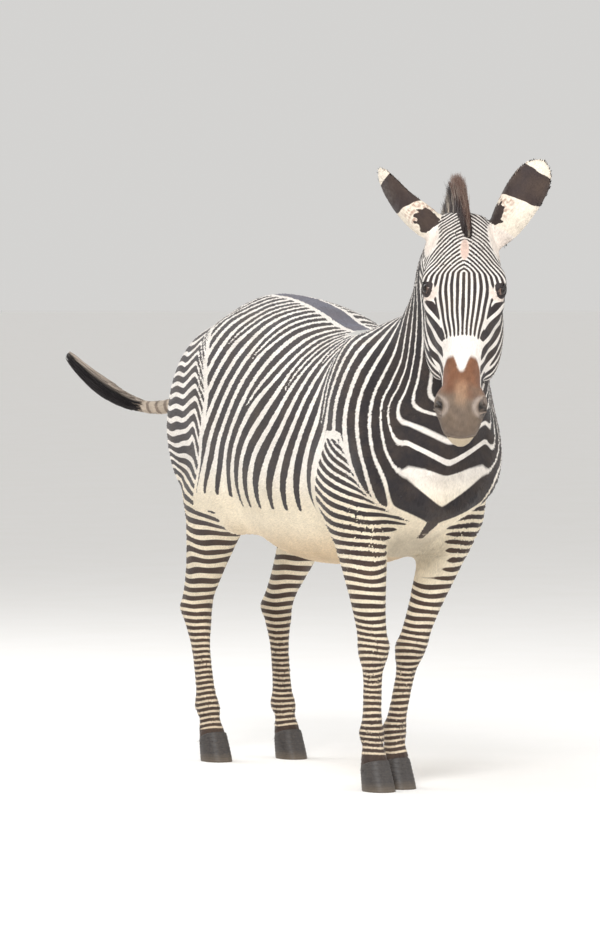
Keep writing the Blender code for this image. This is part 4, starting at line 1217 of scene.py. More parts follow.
def unwrap(points, name):
    """Metres across and along a region of the skin, as if rolled out flat, and the metres once round it."""
    if name in EARS:
        s, angle, out, half, depth, _ = Ear(name).local(points)
        inner = out < wall_middle(s, half, depth)
        return 0.05 * angle + 0.36 * inner, EAR_LENGTH * s, 0.1 * math.pi
    if name == "trunk":
        across, out, girth = points[:, 0], points[:, 2] - TRUNK_AXIS_Z, 0.30
        along = capsule(points[:, 1], np.hypot(across, out), -0.42, 0.42, girth)
    elif name == "neck":
        across, out, along = ((points - NECK_BASE) @ np.array([NECK_SIDE, NECK_CREST, NECK_AXIS]).T).T
        girth = 0.17
    elif name == "head":
        t, across, v = head_places(points)
        out, girth = v + 0.12, 0.10
        along = capsule(t, np.hypot(across, out), 0.05, 0.55, girth)
    elif name == "tail":
        nearest, middle, way = on_tail(points)
        side = units(np.cross(way, UP))
        gap = points - middle
        across, out = (gap * side).sum(1), (gap * np.cross(side, way)).sum(1)
        girth, along = 0.03, nearest * 0.011 + (gap * way).sum(1)
    else:
        axis_x, axis_y = leg_axis(name, points[:, 2])
        across = points[:, 1] - axis_y
        out = (points[:, 0] - axis_x) * (1 if "left" in name else -1)
        girth, along = 0.06, -points[:, 2]
    return girth * np.arctan2(across, out), along, 2 * math.pi * girth


# Where each region's unwrap goes on the skin's own map: left, low, wide and high.
SHEETS = {
    "trunk": (0.01, 0.01, 0.50, 0.58),
    "neck": (0.53, 0.01, 0.46, 0.30),
    "head": (0.53, 0.33, 0.46, 0.32),
    "foreleg_left": (0.01, 0.61, 0.12, 0.38),
    "foreleg_right": (0.14, 0.61, 0.12, 0.38),
    "hindleg_left": (0.27, 0.61, 0.12, 0.38),
    "hindleg_right": (0.40, 0.61, 0.12, 0.38),
    "tail": (0.54, 0.68, 0.06, 0.31),
    "ear_left": (0.62, 0.68, 0.17, 0.31),
    "ear_right": (0.81, 0.68, 0.17, 0.31),
}


def add_map(mesh, name, places):
    layer = mesh.uv_layers.new(name=name)
    layer.data.foreach_set("uv", np.asarray(places, np.float32).ravel())


def map_skin(skin, regions):
    """The skin's two maps: Lie, in metres for the streaks, and OFBake. Returns each region's extent."""
    points, normals = points_of(skin.data), normals_of(skin.data)
    triangles = corners_of(skin.data).reshape(-1, 3)
    of_face = regions[triangles[:, 0]]
    lie = np.zeros((len(triangles), 3, 2))
    baked = np.zeros((len(triangles), 3, 2))
    extents = {}
    for number, name in enumerate(REGIONS):
        faces = np.flatnonzero(of_face == number)
        corners = triangles[faces].ravel()
        across, along, once = unwrap(off_wall(points[corners], normals[corners], name), name)
        across = across.reshape(-1, 3)
        across -= once * np.round((across - across[:, :1]) / once)
        places = np.stack([across, along.reshape(-1, 3)], axis=-1)
        low, high = places.min((0, 1)), places.max((0, 1))
        extents[name] = (low, high)
        sheet = np.array(SHEETS[name])
        lie[faces] = places
        baked[faces] = sheet[:2] + (places - low) / (high - low) * sheet[2:]
    add_map(skin.data, "Lie", lie)
    add_map(skin.data, "OFBake", baked)
    return extents


# ---------------------------------------------------------------- materials
class Nodes:
    """A material's node tree, built from short calls."""

    def __init__(self, name):
        self.material = bpy.data.materials.new(name)
        self.material.use_nodes = True
        self.tree = self.material.node_tree
        self.shader = self.tree.nodes["Principled BSDF"]

    def new(self, kind, **values):
        """A node with settings by name, and inputs by name or as _number; sockets given are joined."""
        node = self.tree.nodes.new(kind)
        for key, value in values.items():
            if hasattr(node, key):
                setattr(node, key, value)
            else:
                self.give(node.inputs[int(key[1:]) if key[1:].isdigit() else key], value)
        return node

    def give(self, socket, value):
        """Joins a socket to an input, or sets the input's number, vector or colour."""
        if isinstance(value, bpy.types.NodeSocket):
            self.tree.links.new(value, socket)
        elif isinstance(socket.default_value, float):
            socket.default_value = value
        else:
            socket.default_value = (*value, 1) if len(socket.default_value) > len(value) else value

    def math(self, operation, a, b=0.0):
        return self.new("ShaderNodeMath", operation=operation, _0=a, _1=b).outputs[0]

    def mix(self, share, a, b, blend="MIX"):
        """Two colours mixed by a share."""
        kinds = {"data_type": "RGBA", "blend_type": blend}
        return self.new("ShaderNodeMix", **kinds, Factor=share, _6=a, _7=b).outputs[2]

    def noise(self, scale, detail, roughness, place):
        sizes = {"Scale": scale, "Detail": detail, "Roughness": roughness}
        return self.new("ShaderNodeTexNoise", **sizes, Vector=place).outputs["Fac"]

    def attribute(self, name):
        """The outputs of a value that the mesh's points carry."""
        return self.new("ShaderNodeAttribute", attribute_name=name).outputs

    def place(self):
        return self.new("ShaderNodeNewGeometry").outputs["Position"]

    def range(self, value, low, high, to_low=0.0, to_high=1.0):
        numbers = {"_1": low, "_2": high, "_3": to_low, "_4": to_high}
        return self.new("ShaderNodeMapRange", _0=value, **numbers).outputs[0]

    def bump(self, height, distance, strength=1.0):
        node = self.new("ShaderNodeBump", Strength=strength, Distance=distance, Height=height)
        return node.outputs["Normal"]

    def finish(self, colour, roughness, normal=None, **constants):
        self.give(self.shader.inputs["Base Color"], colour)
        self.give(self.shader.inputs["Roughness"], roughness)
        if normal is not None:
            self.give(self.shader.inputs["Normal"], normal)
        for key, value in constants.items():
            self.shader.inputs[key.replace("_", " ")].default_value = value
        return self.material


def skin_material():
    """Short flat hair over skin: the markings' colours, with streaks that follow the lie of the coat."""
    n = Nodes("coat_skin")
    bar = n.attribute("bars")
    row = n.new("ShaderNodeSeparateXYZ", Vector=bar["Vector"]).outputs
    squares = n.math("ADD", n.math("MULTIPLY", row[0], row[0]), n.math("MULTIPLY", row[1], row[1]))
    cosine = n.math("DIVIDE", row[0], n.math("SQRT", n.math("MAXIMUM", squares, 1e-8)))
    height = n.math("SUBTRACT", n.math("MULTIPLY", cosine, -1.0), row[2])
    ink = n.math("MULTIPLY", height, n.math("MULTIPLY", bar["Alpha"], 0.2))
    pale, dark = n.attribute("pale")["Color"], n.attribute("dark")["Color"]
    lie = n.new("ShaderNodeUVMap", uv_map="Lie").outputs["UV"]
    # Streaks of hair, much longer along the lie than across it.
    stretched = n.new("ShaderNodeMapping", Scale=(420, 75, 1), Vector=lie).outputs["Vector"]
    streaks = n.noise(1.0, 3.0, 0.6, stretched)
    ragged = n.math("ADD", n.math("MULTIPLY", n.math("SUBTRACT", streaks, 0.5), 0.0030), ink)
    inked = n.range(ragged, -0.0011, 0.0011)  # metres into black, so edges are about 2 mm soft
    colour = n.mix(inked, pale, dark)
    patches = n.noise(14.0, 4.0, 0.6, n.place())
    worn = n.mix(n.range(patches, 0.40, 0.80, 0.0, 0.16), colour, srgb(150, 128, 104))
    streaked = n.mix(n.range(streaks, 0.3, 0.7), worn, (1.10, 1.08, 1.06), "MULTIPLY")
    shaded = n.mix(n.range(streaks, 0.62, 0.38, 0.0, 0.45), streaked, (0.62, 0.60, 0.58), "MULTIPLY")
    normal = n.bump(streaks, 0.0012, 0.7)
    rough = n.range(patches, 0.3, 0.7, 0.62, 0.78)
    return n.finish(shaded, rough, normal, Sheen_Weight=0.12, Specular_IOR_Level=0.35)


def hair_material():
    """Long hair, whose locks carry their own colours."""
    n = Nodes("long_hair")
    tint = n.attribute("tint")["Color"]
    strands = n.noise(900.0, 2.0, 0.6, n.place())
    colour = n.mix(n.range(strands, 0.35, 0.65, 0.0, 0.35), tint, (0.72, 0.70, 0.68), "MULTIPLY")
    normal = n.bump(strands, 0.0004, 0.4)
    return n.finish(colour, 0.6, normal, Sheen_Weight=0.15, Specular_IOR_Level=0.35)


def hoof_material():
    n = Nodes("horn")
    place = n.place()
    rings = n.new("ShaderNodeSeparateXYZ", Vector=place).outputs["Z"]
    wavy = n.math("ADD", n.math("MULTIPLY", n.noise(18.0, 2.0, 0.5, place), 0.010), rings)
    bands = n.math("SINE", n.math("MULTIPLY", wavy, 900.0))
    grain = n.noise(160.0, 4.0, 0.6, place)
    worn = n.mix(n.range(grain, 0.35, 0.75), srgb(54, 50, 49), srgb(78, 72, 68))
    dusty = n.mix(n.range(rings, 0.03, 0.0, 0.0, 0.5), worn, srgb(128, 112, 92))
    ringed = n.mix(n.range(bands, -1.0, 1.0, 0.0, 0.20), dusty, srgb(44, 40, 39))
    normal = n.bump(n.math("ADD", bands, grain), 0.0003, 0.5)
    return n.finish(ringed, n.range(grain, 0.3, 0.7, 0.42, 0.62), normal)


def eye_material():
    """Dark brown iris with a level oval pupil, on a wet dark eyeball."""
    n = Nodes("eye_wet")
    iris = n.attribute("iris")["Fac"]
    fibres = n.noise(260.0, 3.0, 0.6, n.place())
    brown = n.mix(n.range(fibres, 0.3, 0.7), srgb(20, 13, 11), srgb(42, 27, 20))
    colour = n.mix(n.range(iris, 0.30, 0.36), srgb(6, 6, 10), brown)
    colour = n.mix(n.range(iris, 0.92, 1.02), colour, srgb(26, 20, 18))
    colour = n.mix(n.range(iris, 1.22, 1.36), colour, srgb(120, 98, 88))
    roughness = n.range(fibres, 0.0, 1.0, 0.04, 0.07)
    return n.finish(colour, roughness, None, Coat_Weight=0.4, Coat_Roughness=0.02, IOR=1.36)


def floor_material():
    n = Nodes("studio_floor")
    grain = n.noise(3.0, 4.0, 0.6, n.place())
    colour = n.mix(n.range(grain, 0.3, 0.7), srgb(252, 251, 249), srgb(254, 253, 252))
    return n.finish(colour, n.range(grain, 0.3, 0.7, 0.84, 0.9))


# ---------------------------------------------------------------- eyes and hooves
IRIS_RADII = (0.62, 0.50)  # along the slit and across it, 1 being the eyeball's radius


def make_eyes(material):
    """Eyeballs that bulge a little in front, with each point's place on the iris."""
    for side, name in ((1, "eye_left"), (-1, "eye_right")):
        centre, along, across, outward = eye_frame(side)
        bm = bmesh.new()
        bmesh.ops.create_uvsphere(bm, u_segments=64, v_segments=40, radius=1)
        local = np.array([v.co for v in bm.verts])
        radius_out = np.hypot(local[:, 0], local[:, 1])
        bulge = 1 + 0.045 * ease(radius_out, 0.62, 0.0) * (local[:, 2] > 0)
        swollen = local * bulge[:, None] * (EYE_RADIUS - 0.0004)
        placed = centre + swollen @ np.array([along, across, outward])
        for vertex, place in zip(bm.verts, placed):
            vertex.co = place
        eyeball = new_object(name + "_ball", bm)
        oval = np.hypot(*(local[:, :2] / IRIS_RADII).T)  # 1 on the iris's edge
        set_values(eyeball.data, "iris", np.where(local[:, 2] > 0, oval, 2.0))
        finish_piece(eyeball, material, "eye", name)


def make_hooves(material):
    """A hoof wall with growth rings and a rounded coronet, on each CAD hoof's place."""
    for leg, joints in LEGS.items():
        name = leg.replace("foreleg", "hoof_fore").replace("hindleg", "hoof_hind")
        foot = joints[3]
        form = Loft(hoof_rows(foot), axis=(0, 0, 1), side=(1, 0, 0), up=(0, -1, 0))
        rings = [hoof_ring(form, foot, share) for share in np.linspace(0, 1, 34)]
        coronet = rings[-1]
        top = coronet.mean(0)
        for shrink, sink in ((0.90, 0.001), (0.70, 0.004), (0.35, 0.006)):
            rings.append(top + (coronet - top) * shrink - (0, 0, sink))
        bm = bmesh.new()
        add_tube(bm, rings)
        hoof = new_object(name + "_horn", bm)
        hoof.data.shade_smooth()
        finish_piece(hoof, material, "hoof", name)


def hoof_ring(form, foot, share, around=56):
    """One ring of the hoof's wall, from the flat sole at share 0 to the sloping coronet at 1."""
    angles = np.linspace(0, 2 * math.pi, around, endpoint=False)
    level = np.full(around, share * CORONET_Z)
    for _ in range(4):  # the level depends on how far forward the wall is, and that on the level
        cu, cv = read(form.values[:, :2], form.t, level)
        x, front = form.outline(level, angles)
        coronet = foot[2] - math.tan(CORONET_SLOPE) * (-front - foot[1]) - 0.0006
        level = share * coronet
    places = np.column_stack([x, -front, level])
    middle = np.array([cu.mean(), -cv.mean(), 0])
    outward = units((places - middle) * (1, 1, 0))
    ridge = 0.0004 * np.sin(share * 46) * ease(share, 0.05, 0.2)  # seven growth rings
    lip = -0.0016 * ease(share, 0.90, 1.0) - 0.0012 * ease(share, 0.03, 0.0) - 0.0006
    return places + outward * (ridge + lip)


def finish_piece(piece, material, slot, *nodes):
    """Moves a piece into the frame, with its material and body, and hides the nodes that it stands for; slot
    is not used.
    """
    set_points(piece.data, points_of(piece.data) - SHIFT)
    piece.data.materials.clear()
    piece.data.materials.append(material)
    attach(piece, "root")
    if nodes:
        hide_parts(*nodes)


# ---------------------------------------------------------------- mane and the tail's tuft
MANE_ROWS = [  # x, y, z of the crest, height of the hair, lean back in degrees, half thickness
    (0.004, -0.450, 1.415, 0.008, 5, 0.008),
    (0.006, -0.515, 1.432, 0.018, 20, 0.013),
    (0.006, -0.575, 1.475, 0.030, 32, 0.016),
    (0.002, -0.645, 1.545, 0.048, 38, 0.017),
    (-0.006, -0.722, 1.618, 0.064, 38, 0.018),
    (-0.015, -0.790, 1.680, 0.078, 36, 0.020),
    (-0.024, -0.850, 1.712, 0.105, 28, 0.022),
    (-0.031, -0.905, 1.724, 0.145, 19, 0.024),
    (-0.037, -0.950, 1.722, 0.140, 10, 0.024),
    (-0.043, -0.985, 1.705, 0.085, 2, 0.019),
    (-0.048, -1.008, 1.688, 0.015, -5, 0.010),
]


KNOTS = 5  # rings of three points along each lock
LOCK_POINTS = 3 * KNOTS


def locks(roots, ways, bends, lengths, widths, sides):
    """Long tapering three-sided locks: points, triangles, and each point's share of the way to the tip."""
    share = np.linspace(0, 1, KNOTS)
    count = len(roots)
    swing = ways[:, None] * share[:, None] + bends[:, None] * share[:, None] ** 2
    path = roots[:, None] + swing * lengths[:, None, None]
    along = units(np.gradient(path, axis=1))
    side = units(sides[:, None] - along * (sides[:, None] * along).sum(-1, keepdims=True))
    out = np.cross(along, side)
    swell = np.interp(share, [0, 0.35, 0.75, 1.0], [0.75, 1.0, 0.75, 0.06])
    width = widths[:, None, None] * swell[:, None]
    corners = [(1.0, -0.12), (0.0, 0.30), (-1.0, -0.12)]
    rings = np.stack([path + width * (side * a + out * b) for a, b in corners], axis=2)
    points = rings.reshape(-1, 3)
    faces = []
    for k in range(KNOTS - 1):
        for a in range(3):
            b = (a + 1) % 3
            low, high = 3 * k, 3 * (k + 1)
            faces += [(low + a, low + b, high + b), (low + a, high + b, high + a)]
    faces += [(0, 2, 1), (LOCK_POINTS - 3, LOCK_POINTS - 2, LOCK_POINTS - 1)]
    triangles = (np.array(faces)[None] + LOCK_POINTS * np.arange(count)[:, None, None]).reshape(-1, 3)
    return points, triangles, np.tile(np.repeat(share, 3), count)


def add_locks(name, hair, tint, places, material, *nodes):
    """A piece from what locks() gives; tint has a row for each lock or point, places one for each lock."""
    points, triangles, _ = hair
    piece = new_object(name, mesh_from(name, points, triangles))
    if len(tint) < len(points):
        tint = np.repeat(tint, LOCK_POINTS, axis=0)
    set_values(piece.data, "tint", tint)
    bake_map(piece, np.repeat(places, LOCK_POINTS, axis=0))
    finish_piece(piece, material, "hair", *nodes)


MANE_SPACING = 0.043  # from one pale line to the next, as on the neck below


def make_mane(material, count=5200):
    """An upright mane of locks that carry on the neck's bars, dark at their tips, up to the forelock."""
    rows = curve_points(MANE_ROWS, 200)
    weight = np.sqrt(rows[:, 3] + 0.01)
    at = rng.choice(len(rows) - 1, count, p=weight[:-1] / weight[:-1].sum()) + rng.random(count)
    lines = np.array(read(rows, np.arange(len(rows)), at)).T
    crest, height, lean, half = lines[:, :3], lines[:, 3], np.radians(lines[:, 4]), lines[:, 5]
    along = units(np.gradient(rows[:, :3], axis=0))[at.astype(int)]
    flat = units(along * (1, 1, 0))
    upward = units(UP * np.cos(lean)[:, None] - flat * np.sin(lean)[:, None])
    side = units(np.cross(upward, flat))
    across = rng.uniform(-1, 1, count)
    roots = crest + side * (half * across * 0.82)[:, None] - upward * 0.022
    roots += flat * rng.normal(0, 0.003, count)[:, None]
    ways = upward + side * (-0.10 * across + rng.normal(0, 0.04, count))[:, None]
    ways += flat * rng.normal(0, 0.05, count)[:, None]
    bends = flat * rng.normal(-0.04, 0.04, count)[:, None] - side * (0.12 * across)[:, None]
    short = 1 - 0.35 * np.abs(across) ** 2 - 0.12 * rng.random(count)
    lengths = (height * short + 0.020) * 0.97
    widths = rng.uniform(0.0016, 0.0030, count)
    hair = locks(roots, units(ways), bends, lengths, widths, flat)
    below = crest - upward * 0.035 + side * (0.03 * across)[:, None]
    number = (below[:, 1] + 0.10) / MANE_SPACING
    ink = -np.cos(2 * math.pi * number) + 0.55 * np.cos(math.pi * 0.35)
    forelock = ease(crest[:, 1], -0.86, -0.93)
    pale_core = ease(np.abs(across), 0.55, 0.25) * forelock * 0.5
    root_dark = ease(ink, -0.12, 0.12) * (1 - forelock) + forelock * (1 - pale_core)
    tone = rng.uniform(0.8, 1.2, count)
    pale, dark, tip = srgb(226, 212, 194), srgb(58, 46, 44), srgb(112, 72, 54)
    root_colour = pale + (dark - pale) * root_dark[:, None]
    tint = np.repeat(root_colour * tone[:, None], LOCK_POINTS, axis=0)
    tipped = ease(hair[2], 0.55, 0.85)[:, None]
    end = np.repeat(np.where(forelock[:, None] > 0.5, tip, dark), LOCK_POINTS, axis=0)
    tint = tint + (end - tint) * tipped * 0.8
    places = np.column_stack([at / len(rows), 0.5 + 0.45 * across])
    add_locks("mane_hair", hair, tint, places, material, "mane")


def make_tail_tuft(material, count=2600):
    """Long black locks that follow the dock's swing, with a paler upper edge that is partly paler hair and
    partly a painted highlight.
    """
    rows = curve_points(TUFT_POINTS, 120)
    at = rng.triangular(0, 5, 100, count)
    lines = np.array(read(rows, np.arange(len(rows)), at)).T
    centre, radius = lines[:, :3], lines[:, 3]
    along = units(np.gradient(rows[:, :3], axis=0))[at.astype(int)]
    side = units(np.cross(along, UP))
    top = np.cross(side, along)
    angle = rng.uniform(0, 2 * math.pi, count)
    reach = np.sqrt(rng.uniform(0.05, 1, count)) * 0.80
    outward = side * np.cos(angle)[:, None] + top * np.sin(angle)[:, None]
    roots = centre + outward * (radius * reach)[:, None]
    remaining = (len(rows) - at) / len(rows)
    lengths = np.minimum(0.05 + 0.09 * rng.random(count), 0.27 * remaining + 0.006)
    ways = along + outward * (0.10 * (0.5 - at / len(rows)))[:, None]
    ahead = np.minimum(at.astype(int) + 22, len(rows) - 1)
    bends = (units(np.gradient(rows[:, :3], axis=0))[ahead] - along) * 0.5 - outward * 0.10
    widths = rng.uniform(0.0018, 0.0034, count)
    hair = locks(roots, units(ways), bends, lengths, widths, outward)
    tone = rng.uniform(0.75, 1.25, count)
    # Paler locks on the top side: partly paler hair, partly a painted highlight where light falls on the
    # tuft's top.
    upper = ease(np.sin(angle), 0.35, 0.8) * ease(reach, 0.35, 0.6) * ease(at, 110, 80)
    tint = mixed(0.85 * upper, srgb(38, 32, 34), srgb(196, 182, 168)) * tone[:, None]
    places = np.column_stack([at / len(rows), angle / 6.2832])
    add_locks("tail_tuft_hair", hair, tint, places, material, "tail_tuft")


PATCH = 0.003  # across each tuft's place on its map


def bake_map(piece, places):
    """A UV map with each tuft on a small patch at its root's place on the unwrapped skin."""
    corners = corners_of(piece.data)
    nudge = np.array([(0, 0), (1, 0), (0, 1)])[np.arange(len(corners)) % 3] * PATCH
    add_map(piece.data, "OFBake", np.clip(places[corners] * (1 - PATCH) + nudge, 0, 1))


# ---------------------------------------------------------------- the short coat's tufts
TUFTS = {  # how many, length, width and lift of the tip
    "trunk": (52_000, 0.019, 0.0052, 0.0022),
    "neck": (16_000, 0.018, 0.0048, 0.0022),
    "head": (22_000, 0.0085, 0.0026, 0.0010),
    "tail": (2_500, 0.016, 0.0036, 0.0022),
    "ear_left": (2_600, 0.009, 0.0024, 0.0008),
    "ear_right": (2_600, 0.009, 0.0024, 0.0008),
}
TUFTS.update({name: (6_500, 0.0125, 0.0036, 0.0015) for name in LEGS})


def lie_of(points, normals, name):
    """Which way the hair lies on each place of the skin, along the surface."""
    if name in EARS:
        way = np.tile(ear_frame(name)[1], (len(points), 1))
    elif name == "tail":
        way = on_tail(points)[2]
    else:
        ways = {"trunk": (0, 1, -0.35), "neck": -NECK_AXIS, "head": HEAD[0]}
        way = np.tile(np.array(ways.get(name, (0, 0.2, -1)), float), (len(points), 1))
    flat = way - normals * (way * normals).sum(1, keepdims=True)
    return units(flat + 1e-6)


def tuft_roots(skin, regions, name, count):
    """Places on a region's skin and the skin's normals there, spread evenly, clear of eyes and nostrils."""
    triangles = corners_of(skin.data).reshape(-1, 3)
    triangles = triangles[regions[triangles[:, 0]] == REGIONS.index(name)]
    points, normals = points_of(skin.data), normals_of(skin.data)
    a, b, c = (points[triangles[:, k]] for k in range(3))
    areas = np.linalg.norm(np.cross(b - a, c - a), axis=1)
    chosen = triangles[rng.choice(len(triangles), count, p=areas / areas.sum())]
    weights = rng.dirichlet((1, 1, 1), count)[:, :, None]
    roots, up = (points[chosen] * weights).sum(1), units((normals[chosen] * weights).sum(1))
    clear = np.ones(count, bool)
    for side in (1, -1):
        clear &= np.linalg.norm(roots - eye_frame(side)[0], axis=1) > EYE_RADIUS + 0.006
        clear &= np.linalg.norm(roots - on_head(*NOSTRIL * (1, side, 1)), axis=1) > 0.026
    gap, share = mouth_gap(roots)
    clear &= (np.abs(gap) > 0.008) | (share < 0.1)
    return roots[clear], up[clear]


# Each tuft is a leaf of five points: root, right, left, ridge and tip.
LEAF = np.array([(0, 1, 3), (0, 3, 2), (1, 4, 3), (3, 4, 2), (0, 2, 1), (2, 4, 1)])


def make_coat(skin, regions, extents, material):
    """Tufts over every region, as one piece for each, or two for the largest."""
    for name, (count, length, width, lift) in TUFTS.items():
        roots, up = tuft_roots(skin, regions, name, count)
        way = lie_of(roots, up, name)
        turn = rng.normal(0, 0.16, len(roots))[:, None]
        way = way * np.cos(turn) + np.cross(up, way) * np.sin(turn)
        side = np.cross(up, way)
        size = rng.uniform(0.75, 1.25, len(roots))[:, None]
        if name == "head":
            size = size * np.interp(head_places(roots)[0], [0.0, 0.35, 0.60], [1.15, 0.9, 0.6])[:, None]
        full, half = length * size, 0.5 * width * size
        widest = 0.42 * full  # how far along the tuft its middle points lie
        raised = lift * rng.uniform(0.4, 1.2, len(roots))[:, None]
        middle = roots + way * widest + up * (0.35 * raised)
        leaf = np.stack(
            [
                roots - up * 0.0008,
                middle - side * half - up * 0.0002,
                middle + side * half - up * 0.0002,
                middle + up * 0.0005,
                roots + way * full + up * raised,
            ],
            axis=1,
        )
        soft = units(np.stack([up, up - side * 0.3, up + side * 0.3, up, up], axis=1))
        zero = np.zeros_like(half)
        along = np.stack([zero, widest, widest, widest, full], 1)
        across = np.stack([zero, -half, half, zero, zero], 1)
        lie = np.concatenate([across, along], -1) + rng.uniform(0, 9, (len(roots), 1, 2))
        round_it, down_it, _ = unwrap(off_wall(roots, up, name), name)
        low, high = extents[name]
        places = np.clip((np.column_stack([round_it, down_it]) - low) / (high - low), 0, 1)
        halves = {"_left": roots[:, 0] > 0, "_right": roots[:, 0] <= 0}
        if name not in ("trunk", "neck", "head"):
            halves = {"": np.ones(len(roots), bool)}
        for suffix, here in halves.items():
            add_tufts("coat_" + name + suffix, leaf[here], soft[here], lie[here], places[here], material)


def add_tufts(name, leaves, normals, lie, places, material):
    """One joined piece of tufts, painted with the same markings as the skin."""
    points = leaves.reshape(-1, 3)
    triangles = (LEAF[None] + 5 * np.arange(len(leaves))[:, None, None]).reshape(-1, 3)
    piece = new_object(name, mesh_from(name, points, triangles))
    rows, pale, dark = markings(points, normals.reshape(-1, 3))
    tone = np.repeat(rng.uniform(0.93, 1.07, len(leaves)), 5)[:, None]
    paint(piece.data, rows, pale * tone, dark * tone**2)
    add_map(piece.data, "Lie", lie.reshape(-1, 2)[triangles.ravel()])
    bake_map(piece, np.repeat(places, 5, axis=0))
    piece.data.shade_smooth()
    piece.data.normals_split_custom_set_from_vertices(normals.reshape(-1, 3))
    finish_piece(piece, material, "coat")


def make_lashes(material, count=46):
    """Lashes on the upper lids."""
    for side, name in ((1, "left"), (-1, "right")):
        centre, along, across, outward = eye_frame(side)
        upper = -side * across
        turn = np.linspace(-1.05, 1.05, count) + rng.normal(0, 0.02, count)
        a = 0.0165 * np.sin(turn)
        b = 0.0100 * np.cos(turn)
        lid = EYE_RADIUS + LID_THICKNESS - 0.002
        out = np.sqrt(lid**2 - a**2 - b**2)
        roots = centre + np.outer(a, along) + np.outer(b, upper) + np.outer(out, outward)
        ways = units(0.8 * outward + 0.45 * upper + np.outer(0.5 * np.sin(turn), along))
        bends = np.tile(-0.55 * upper, (count, 1))
        lengths = rng.uniform(0.010, 0.015, count) * (1 - 0.3 * np.abs(turn))
        hair = locks(roots, ways, bends, lengths, np.full(count, 0.00045), np.tile(along, (count, 1)))
        tint = np.tile(srgb(30, 24, 24), (count, 1))
        places = np.column_stack([0.5 + turn / 3, np.full(count, 0.5)])
        add_locks("lashes_" + name, hair, tint, places, material)


def make_ear_fringes(material, count=900):
    """Soft hair on both rims of each ear, leaning into its hollow."""
    for name in EARS:
        ear = Ear(name)
        s = rng.uniform(0.16, 0.96, count)
        edge = np.where(rng.random(count) < 0.5, -1, 1)
        half, depth, wrap = read(ear.values, ear.share, s)
        angle = edge * (np.radians(wrap) - rng.uniform(0, 0.16, count))
        inset = wall_middle(s, half, depth)
        bow = EAR_BOW * np.sin(math.pi * s) - 0.5 * depth
        side = half * inset * np.sin(angle)
        back = depth * inset * np.cos(angle) + bow
        roots = ear.root + np.outer(s * EAR_LENGTH, ear.way)
        roots = roots + np.outer(side, ear.side) + np.outer(back, ear.back)
        inward = -np.outer(np.sin(angle), ear.side) - np.outer(np.cos(angle), ear.back)
        ways = units(0.55 * ear.way + 0.75 * inward + rng.normal(0, 0.15, (count, 3)))
        bends = 0.3 * ear.way + rng.normal(0, 0.08, (count, 3))
        lengths = rng.uniform(0.010, 0.022, count) * np.interp(s, [0.16, 0.4, 0.96], [1.2, 1.0, 0.5])
        hair = locks(roots, ways, bends, lengths, rng.uniform(0.0006, 0.0011, count), inward)
        banded = ease(s, 0.54, 0.60) * ease(s, 0.90, 0.86)
        tint = mixed(banded, srgb(222, 208, 192), srgb(64, 50, 46)) * rng.uniform(0.85, 1.1, count)[:, None]
        add_locks(name + "_fringe", hair, tint, np.column_stack([0.5 + angle / 6.4, s]), material)


# ---------------------------------------------------------------- stage
WITHERS_Y = -0.48
CAMERA_YAW = math.radians(25)
CAMERA_DISTANCE = 20.0
CAMERA_HEIGHT = 1.8
AIM_HEIGHT = 0.975
FLOOR_RADIUS = 400.0
VIEW_HEIGHT = 2.80967  # what the frame's height takes in at the withers
VIEW_ASIDE = 0.3173  # how far to the left of the withers, as the camera sees it, its middle lies


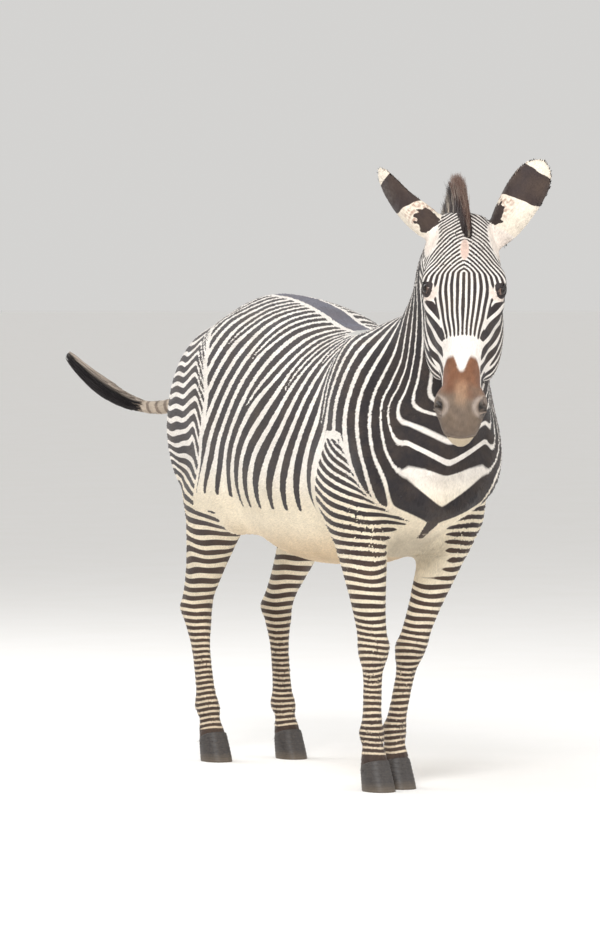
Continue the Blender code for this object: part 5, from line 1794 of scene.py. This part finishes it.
def make_camera():
    """A long lens at eye height, to the front and right of the animal."""
    data = bpy.data.cameras.new("camera")
    data.lens = 36 * CAMERA_DISTANCE / VIEW_HEIGHT
    data.clip_end = 100
    camera = bpy.data.objects.new("camera", data)
    bpy.context.scene.collection.objects.link(camera)
    withers = np.array([0, WITHERS_Y, 0])
    ahead = np.array([math.sin(CAMERA_YAW), math.cos(CAMERA_YAW), 0])
    right = np.array([math.cos(CAMERA_YAW), -math.sin(CAMERA_YAW), 0])
    middle = withers - right * VIEW_ASIDE - SHIFT  # the middle of the frame, on the floor
    camera.location = middle - ahead * CAMERA_DISTANCE + UP * CAMERA_HEIGHT
    aim = Vector(middle + UP * AIM_HEIGHT) - camera.location
    camera.rotation_euler = aim.to_track_quat("-Z", "Y").to_euler()
    bpy.context.scene.camera = camera


def make_floor():
    """A wide pale floor, whose far edge fades into the background."""
    bm = bmesh.new()
    bmesh.ops.create_circle(bm, cap_ends=True, segments=96, radius=FLOOR_RADIUS)
    floor = new_object("studio_floor", bm)
    if floor.data.polygons[0].normal.z < 0:
        floor.data.flip_normals()
    floor.data.materials.append(floor_material())


def make_lights():
    """Soft daylight from all round, a key from the front right, and two weaker lamps."""
    world = bpy.data.worlds.new("studio")
    world.use_nodes = True
    background = world.node_tree.nodes["Background"]
    background.inputs["Color"].default_value = (1.0, 0.99, 0.97, 1)
    background.inputs["Strength"].default_value = 0.66
    bpy.context.scene.world = world
    bpy.context.scene.view_settings.view_transform = "Standard"
    for name, place, size, watts in (
        ("key", (-3.5, -5.5, 6.0), 3.0, 400),
        ("fill", (4.5, -4.5, 3.5), 4.0, 80),
        ("back", (-2.0, 5.0, 5.5), 4.0, 200),
    ):
        data = bpy.data.lights.new(name, "AREA")
        data.size = size
        data.energy = watts
        light = bpy.data.objects.new(name, data)
        light.location = place
        light.rotation_euler = (Vector((0, 0, 1.0)) - light.location).to_track_quat("-Z", "Y").to_euler()
        bpy.context.scene.collection.objects.link(light)


# ---------------------------------------------------------------- the whole animal
def main():
    make_camera()
    make_floor()
    make_lights()
    skin = make_skin()
    regions = region_of(points_of(skin.data))
    extents = map_skin(skin, regions)
    paint(skin.data, *markings(points_of(skin.data), normals_of(skin.data)))
    coat = skin_material()
    make_coat(skin, regions, extents, coat)
    finish_piece(skin, coat, "coat", "trunk", "neck", "head", "tail", *LEGS, *EARS)
    make_eyes(eye_material())
    make_hooves(hoof_material())
    hair = hair_material()
    make_mane(hair)
    make_tail_tuft(hair)
    make_lashes(hair)
    make_ear_fringes(hair)


main()
bpy.context.view_layer.update()
